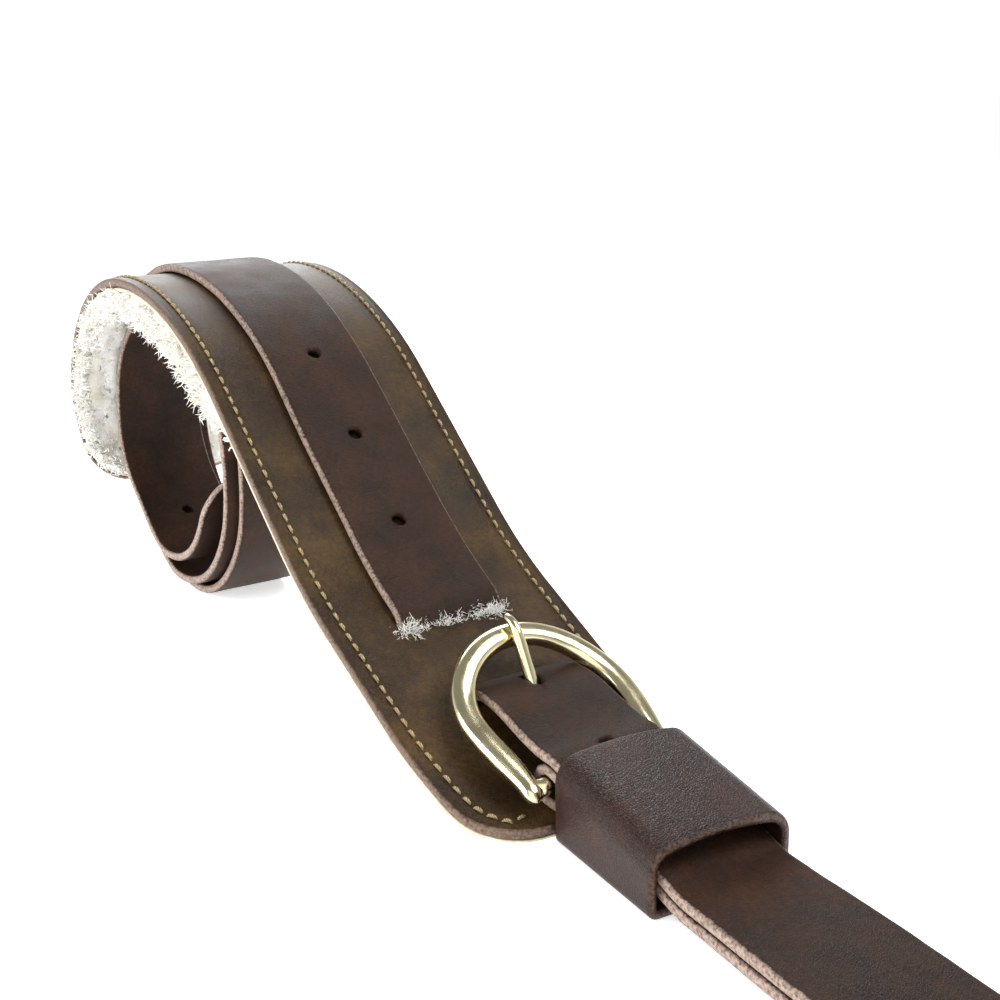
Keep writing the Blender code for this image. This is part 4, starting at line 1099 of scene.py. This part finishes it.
    def slot_tufts(self):
        """Fine tufts that come up beside the strap through the upper slot, in uneven
        clumps along the slot's lip."""
        rng = np.random.default_rng(31)
        tuft = 1500
        y = rng.uniform(-1.0, 1.0, tuft) * (STRAP_WIDTH / 2 + 0.0006)
        clump = 0.5 + 0.5 * np.sin(y * 900.0 + 1.0) * np.sin(y * 370.0)
        clump += 0.6 * smooth((np.abs(y + 0.001) - 0.006) / 0.008)
        at = np.full(tuft, SLOT_A + 0.0010) + rng.uniform(-0.0004, 0.0016, tuft)
        roots = carried(PAD_LINE, at, y, np.full(tuft, -0.0020))
        up = carried(PAD_LINE, at, y, np.full(tuft, 0.0)) - roots
        up /= np.linalg.norm(up, axis=1)[:, None]
        ways = up * 0.75 + np.array([0.75, 0.0, -0.25]) + rng.normal(size=(tuft, 3)) * 0.48
        ways /= np.linalg.norm(ways, axis=1)[:, None]
        long = rng.uniform(0.0026, 0.0050, tuft) * (0.45 + 0.55 * clump)
        return curls(roots, ways, long, 0.00020, 9, 0.0009, 0.9)


class GIRTH_OT_straps(bpy.types.Operator):
    """Make the long girth strap and the buckle's strap, with their punched holes"""
    bl_idname = "girth.straps"
    bl_label = "Straps"

    def execute(self, context):
        length = arc_length(UPPER_PATH)[-1]
        places = tip_stations(length)
        crossing, stretched = tongue_crossing()
        holes = [(crossing - HOLE_PITCH, HOLE_DIAMETER), (crossing, stretched + TONGUE_HOLE_EXTRA)]
        start = place_at_bar(UPPER_PATH) + PAD_HOLE_START
        holes += [(start + n * HOLE_PITCH, HOLE_DIAMETER) for n in range(PAD_HOLES)]
        holes.append((length - TAIL_HOLE_MARGIN, HOLE_DIAMETER))
        item = strap_piece("girth_long_strap", UPPER_PATH, places, round_tip(places, length),
                           holes, strap_leather())
        along_slot(item, "dark_brown_leather", "girth", "girth_strap")
        self.buckle_strap()
        return {"FINISHED"}

    def buckle_strap(self):
        """The strap that holds the buckle, pared thin at its folded-under end."""
        length = LOWER_ALONG[-1]
        places = tip_stations(length, False)
        half = round_tip(places, length, False)
        high = STRAP_THICK / 2 - (STRAP_THICK - FLAP_SKIVE) * smooth(
            (places - (length - FLAP_PARED)) / FLAP_PARED)
        holes = [(END_HOLE_MARGIN + n * HOLE_PITCH, HOLE_DIAMETER) for n in range(END_HOLES)]
        item = strap_piece("girth_buckle_strap", LOWER_PATH, places, half, holes,
                           strap_leather(), None, high, self.crew_slot)
        along_slot(item, "dark_brown_leather", "girth", "buckle_strap")

    def crew_slot(self, places):
        """The slot through the fold that lets the tongue out."""
        bar = LOWER_ALONG[LOWER_BAR]
        round_bar = math.pi * FOLD_MID
        first = int(np.argmin(np.abs(places - (bar - CREW_LENGTH))))
        last = int(np.argmin(np.abs(places - (bar + round_bar + CREW_LENGTH))))

        def outline(along, across):
            """The block's two sides moved to the slot's width."""
            wide = np.abs(across) > CREW_HALF * 0.6
            return along, np.where(wide, np.sign(across) * CREW_HALF, across)
        return [((first, last), (first, last), (13, 19), outline)]


def swept(line, ups, wide, tall, sides, power=1.0):
    """Rings along a line: across each is an oval of the given half width and half height,
    squared off by a power, and its plane is turned to the line."""
    ahead = np.gradient(line, axis=0)
    ahead /= np.linalg.norm(ahead, axis=1)[:, None]
    side = np.cross(ahead, ups)
    side /= np.linalg.norm(side, axis=1)[:, None]
    over = np.cross(side, ahead)
    turn = np.arange(sides) * math.tau / sides
    c = np.sign(np.cos(turn)) * np.abs(np.cos(turn)) ** power
    s = np.sign(np.sin(turn)) * np.abs(np.sin(turn)) ** power
    return (line[:, None] + side[:, None] * (wide[:, None] * c)[..., None]
            + over[:, None] * (tall[:, None] * s)[..., None])


def frame_point(u, v, w):
    """Place of a point given in the buckle frame's own plane."""
    tilt = math.radians(FRAME_TILT)
    x = BAR_X - u * math.cos(tilt) + w * math.sin(tilt)
    z = BAR_Z + u * math.sin(tilt) + w * math.cos(tilt)
    return np.stack([x, np.asarray(v) + SIDE_STEP, z], axis=-1)


def capped(rings):
    """Points and faces of one tube with a fine cap at each end."""
    return many_tubes(rings[None])


def turned_ring(inner, outer, width, middle, sides=40):
    """A short ring about the heel bar: a rounded rectangle turned about the bar's axis."""
    turn = np.linspace(0.0, math.tau, 24, endpoint=False)
    c = np.sign(np.cos(turn)) * np.abs(np.cos(turn)) ** 0.45
    s = np.sign(np.sin(turn)) * np.abs(np.sin(turn)) ** 0.45
    radius = (inner + outer) / 2 + (outer - inner) / 2 * c
    y = middle[1] + width / 2 * s
    spin = np.arange(sides) * math.tau / sides
    x = middle[0] + radius * np.cos(spin)[:, None]
    z = middle[2] + radius * np.sin(spin)[:, None]
    points = np.stack([x, np.broadcast_to(y, x.shape), z], -1)
    faces = tube_faces(sides + 1, 24) % (sides * 24)
    return points.reshape(-1, 3), faces.reshape(-1, 4).tolist()


def joined(*shapes):
    """Points and faces of several shapes as one."""
    points, faces, start = [], [], 0
    for more, quads in shapes:
        points.append(more)
        faces += [[k + start for k in quad] for quad in quads]
        start += len(more)
    return np.concatenate(points), faces


class GIRTH_OT_buckle(bpy.types.Operator):
    """Make the horseshoe buckle with its heel bar, and its tongue"""
    bl_idname = "girth.buckle"
    bl_label = "Buckle"

    def execute(self, context):
        plate = material_named("warm_nickel_plate", plate_material,
                               context.scene.girth_colours.plate)
        heel = FRAME_INSIDE / 2 + RIM_WIDTH / 2
        wide = heel + FRAME_SWELL
        straight = FRAME_LENGTH - wide
        side_u = np.linspace(-0.0035, straight, 40)
        side_v = heel + FRAME_SWELL * smooth(side_u / straight)
        turn = np.linspace(0.0, math.pi, 90)[1:-1]
        u = np.concatenate([side_u, straight + wide * np.sin(turn), side_u[::-1]])
        v = np.concatenate([side_v, wide * np.cos(turn), -side_v[::-1]])
        w = FRAME_BOW * smooth(u / FRAME_LENGTH) * (1.0 - (v / wide) ** 2).clip(0.0)
        past = np.clip((0.0 - u) / 0.0036, 0.0, 1.0)
        end = np.sqrt(1.0 - (past * 0.985) ** 2)
        narrow = 0.80 + 0.20 * smooth(u / 0.012)
        ups = np.tile((math.sin(math.radians(FRAME_TILT)), 0.0,
                       math.cos(math.radians(FRAME_TILT))), (len(u), 1))
        rings = swept(frame_point(u, v, w), ups, RIM_WIDTH / 2 * end * narrow,
                      RIM_HEIGHT / 2 * end * (0.92 + 0.08 * smooth(u / 0.012)), 28, 0.85)
        reach = FRAME_INSIDE / 2 + RIM_WIDTH * 0.4
        y = np.linspace(-reach, reach, 9)
        bar = np.stack([np.full(9, BAR_X), y + SIDE_STEP, np.full(9, BAR_Z)], 1)
        round_bar = np.full(9, BAR_DIAMETER / 2)
        bar_rings = swept(bar, np.tile((0.0, 0.0, 1.0), (9, 1)), round_bar, round_bar, 24)
        item = add_piece("girth_buckle_frame", *joined(capped(rings), capped(bar_rings)), plate)
        along_slot(item, "pale_nickel_plate", "frame", "buckle_frame")
        self.tongue(plate)
        return {"FINISHED"}

    def tongue(self, plate):
        """A round tongue that tapers to a blunt tip, on an eye that turns on the bar."""
        rows = tongue_line()
        along = arc_length(rows)
        share = along / along[-1]
        radius = TONGUE_DIAMETER / 2 * (1.0 - TONGUE_TAPER * smooth(share * 4.0 - 3.0))
        left = along[-1] - along
        radius = radius * np.sqrt(np.clip(1.0 - np.clip(1.0 - left / 0.0013, 0, 0.985) ** 2, 0, 1))
        line = np.stack([rows[:, 0] + BAR_X, np.full(len(rows), SIDE_STEP), rows[:, 1]], 1)
        rings = swept(line, np.stack([np.sin(rows[:, 2]), rows[:, 2] * 0, np.cos(rows[:, 2])], 1),
                      radius, radius, 24)
        eye = turned_ring(BAR_DIAMETER / 2 + GAP, EYE_OUTER,
                          TONGUE_DIAMETER * TONGUE_EYE_LENGTH,
                          (BAR_X, SIDE_STEP, BAR_Z))
        item = add_piece("girth_buckle_tongue", *joined(capped(rings), eye), plate)
        along_slot(item, "pale_nickel_plate", "tongue", "buckle_tongue")


def keeper_outline(half, low, high, foot, shoulder):
    """A keeper's outline across the strap: four quarter circles joined by straight sides,
    with the top arched as one minus the squared place across."""
    turn = np.radians(np.linspace(0.0, 90.0, 12))
    corners = []
    for y, z, start, radius in ((half, low, -90, foot), (half, high, 0, shoulder),
                                (-half, high, 90, shoulder), (-half, low, 180, foot)):
        cy = y - math.copysign(radius, y)
        cz = z + radius if z == low else z - radius
        spin = turn + math.radians(start)
        corners.append(np.stack([cy + radius * np.cos(spin), cz + radius * np.sin(spin)], 1))
    outline = []
    for k in range(4):
        outline.append(corners[k])
        first, last = corners[k][-1], corners[(k + 1) % 4][0]
        t = np.linspace(0.0, 1.0, 15)[1:-1, None]
        outline.append(first + (last - first) * t)
    outline = np.concatenate(outline)
    rise = KEEPER_CROWN * (1.0 - (outline[:, 0] / half) ** 2).clip(0.0)
    outline[:, 1] += np.where(outline[:, 1] > (low + high) / 2, rise, 0.0)
    return outline


class GIRTH_OT_keeper(bpy.types.Operator):
    """Make the leather keeper round the stacked straps"""
    bl_idname = "girth.keeper"
    bl_label = "Keeper"

    def execute(self, context):
        half = STRAP_WIDTH / 2 + KEEPER_CLEAR
        ends = (KEEPER_START, KEEPER_START + KEEPER_LENGTH)
        slant = half * math.sin(math.radians(-RUN_YAW))
        tops = (keeper_inside_top(ends[0] - slant),
                keeper_inside_top(ends[0] + KEEPER_LENGTH * KEEPER_TOP_AT))
        foot, shoulder = KEEPER_FOOT - KEEPER_WALL, KEEPER_ROUND - KEEPER_WALL
        drop = shoulder - math.sqrt(shoulder ** 2 - (shoulder - KEEPER_CLEAR) ** 2)
        pairs = [(keeper_outline(half + KEEPER_WALL, 0.0, top + drop + KEEPER_WALL, KEEPER_FOOT,
                                 KEEPER_ROUND),
                  keeper_outline(half, KEEPER_WALL, top + drop, foot, shoulder)) for top in tops]
        t, f = self.profile()
        outer = pairs[0][0] + (pairs[1][0] - pairs[0][0]) * t[:, None, None]
        inner = pairs[0][1] + (pairs[1][1] - pairs[0][1]) * t[:, None, None]
        across = inner + (outer - inner) * f[:, None, None]
        x = np.broadcast_to((t * KEEPER_LENGTH)[:, None], across.shape[:2])
        yaw = math.radians(RUN_YAW)
        middle = float(lateral(np.array(KEEPER_START)))
        points = np.stack([KEEPER_START + BAR_X + x * math.cos(yaw) - across[..., 0] * math.sin(yaw),
                           middle + x * math.sin(yaw) + across[..., 0] * math.cos(yaw),
                           across[..., 1]], -1)
        count, size = points.shape[:2]
        faces = (tube_faces(count + 1, size) % (count * size)).reshape(-1, 4).tolist()
        flat = points.reshape(-1, 3)
        edge = np.repeat(np.clip(1.0 - np.minimum(t, 1 - t) / 0.03, 0.0, 1.0)
                         * np.clip(f * 2, 0, 1) * 0.75, size)
        item = add_piece("girth_keeper", flat, faces, material_named(
            "waxed_keeper_leather", leather, "waxed_keeper_leather", "#1A0D08", "#2A1610",
            "#3B221A", "#6F5A50", 0.36, 0.62, 0.14, 0.8, 0.14), {"edge": edge})
        along_slot(item, "dark_brown_leather", "keeper_band", "keeper")
        return {"FINISHED"}

    def profile(self):
        """The wall's outline from end to end: share of the length, and share of the wall."""
        run = np.linspace(0.0, math.pi, 14)
        bulge = KEEPER_WALL * 0.32 / KEEPER_LENGTH
        body = np.linspace(bulge, 1.0 - bulge, 26)
        right_t = 1.0 - bulge + bulge * np.sin(run)[1:-1] ** 0.7
        left_t = bulge - bulge * np.sin(run)[1:-1] ** 0.7
        cap = (0.5 + 0.5 * np.cos(run[1:-1]))
        t = np.concatenate([body, right_t, body[::-1], left_t])
        f = np.concatenate([np.ones(26), cap, np.zeros(26), 1.0 - cap])
        return t, f


class GIRTH_OT_stage(bpy.types.Operator):
    """Set the floor, the lights and the camera"""
    bl_idname = "girth.stage"
    bl_label = "Stage"

    def execute(self, context):
        scene = context.scene
        self.floor()
        for light in LIGHTS:
            self.light(*light)
        world = bpy.data.worlds.new("studio_air")
        scene.world = world
        world.use_nodes = True
        self.air(world.node_tree)
        scene.view_settings.view_transform = "Standard"
        self.camera(scene)
        return {"FINISHED"}

    def air(self, tree):
        """White all round at floor level, and dimmer overhead, so that polished metal and
        waxed leather have something dark to reflect."""
        way = add_node(tree, "ShaderNodeTexCoord").outputs["Generated"]
        parts = add_node(tree, "ShaderNodeSeparateXYZ", None, Vector=way)
        level = add_node(tree, "ShaderNodeMapRange", None, Value=parts.outputs[2], From_Min=0.12,
                         From_Max=0.60, To_Min=1.05, To_Max=0.30)
        back = tree.nodes["Background"]
        back.inputs[0].default_value = (1.0, 1.0, 1.0, 1.0)
        tree.links.new(level.outputs[0], back.inputs[1])

    def floor(self):
        """A wide flat sheet under the girth."""
        t = np.linspace(-1.0, 1.0, 9)
        x, y = np.meshgrid(t * FLOOR_HALF, t * FLOOR_HALF, indexing="ij")
        points = np.stack([x, y, np.full_like(x, -0.0002)], -1).reshape(-1, 3)
        i = (np.arange(8)[:, None] * 9 + np.arange(8)[None]).ravel()
        mesh = bpy.data.meshes.new("floor")
        mesh.from_pydata(points, [], np.stack([i, i + 9, i + 10, i + 1], 1).tolist())
        mesh.materials.append(material_named("white_studio_paper", floor_material))
        item = bpy.data.objects.new("floor", mesh)
        bpy.context.scene.collection.objects.link(item)

    def light(self, name, place, target, size, power):
        """A square soft light turned to a point."""
        data = bpy.data.lights.new(name, "AREA")
        data.size = size
        data.energy = power
        item = bpy.data.objects.new(name, data)
        item.location = place
        way = Vector(target) - Vector(place)
        item.rotation_mode = "QUATERNION"
        item.rotation_quaternion = way.to_track_quat("-Z", "Y")
        bpy.context.scene.collection.objects.link(item)

    def camera(self, scene):
        """A 51 mm lens above the strap ends, looking along the girth to the coiled end."""
        data = bpy.data.cameras.new("camera")
        data.lens = LENS_MM
        data.sensor_width = 36.0
        data.clip_start = 0.001
        item = bpy.data.objects.new("camera", data)
        yaw, pitch, roll = (math.radians(a) for a in CAMERA_TURN)
        ahead = np.array((math.cos(yaw) * math.cos(pitch), math.sin(yaw) * math.cos(pitch),
                          -math.sin(pitch)))
        right = np.array((math.sin(yaw), -math.cos(yaw), 0.0))
        up = np.cross(right, ahead)
        side = math.cos(roll) * right + math.sin(roll) * up
        over = math.cos(roll) * up - math.sin(roll) * right
        turned = np.eye(4)
        turned[:3, :3] = np.stack([side, over, -ahead], axis=1)
        turned[:3, 3] = np.array(CAMERA_PLACE) + (BAR_X, 0.0, 0.0)
        item.matrix_world = Matrix(turned.tolist())
        scene.collection.objects.link(item)
        scene.camera = item


class GIRTH_PT_panel(bpy.types.Panel):
    """Sizes, colours and pieces of the girth"""
    bl_idname = "GIRTH_PT_panel"
    bl_label = "Girth"
    bl_space_type = "VIEW_3D"
    bl_region_type = "UI"
    bl_category = "Girth"

    def draw(self, context):
        column = self.layout.column()
        for group in (context.scene.girth_sizes, context.scene.girth_colours):
            for name in group.bl_rna.properties.keys():
                if name not in ("rna_type", "name"):
                    column.prop(group, name)
        for operator in OPERATORS:
            column.operator(operator.bl_idname)


OPERATORS = (GIRTH_OT_pad, GIRTH_OT_stitching, GIRTH_OT_lining, GIRTH_OT_straps,
             GIRTH_OT_buckle, GIRTH_OT_keeper, GIRTH_OT_stage)
CLASSES = (GirthSizes, GirthColours, *OPERATORS, GIRTH_PT_panel)


def register():
    """Add the classes and the scene's properties."""
    for item in CLASSES:
        bpy.utils.register_class(item)
    bpy.types.Scene.girth_sizes = PointerProperty(type=GirthSizes)
    bpy.types.Scene.girth_colours = PointerProperty(type=GirthColours)


def unregister():
    """Take them out again."""
    del bpy.types.Scene.girth_colours
    del bpy.types.Scene.girth_sizes
    for item in reversed(CLASSES):
        bpy.utils.unregister_class(item)


def main():
    """Make every piece in order."""
    register()
    bpy.ops.girth.pad()
    bpy.ops.girth.stitching()
    bpy.ops.girth.lining()
    bpy.ops.girth.straps()
    bpy.ops.girth.buckle()
    bpy.ops.girth.keeper()
    bpy.ops.girth.stage()
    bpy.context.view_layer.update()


if __name__ == "__main__":
    main()
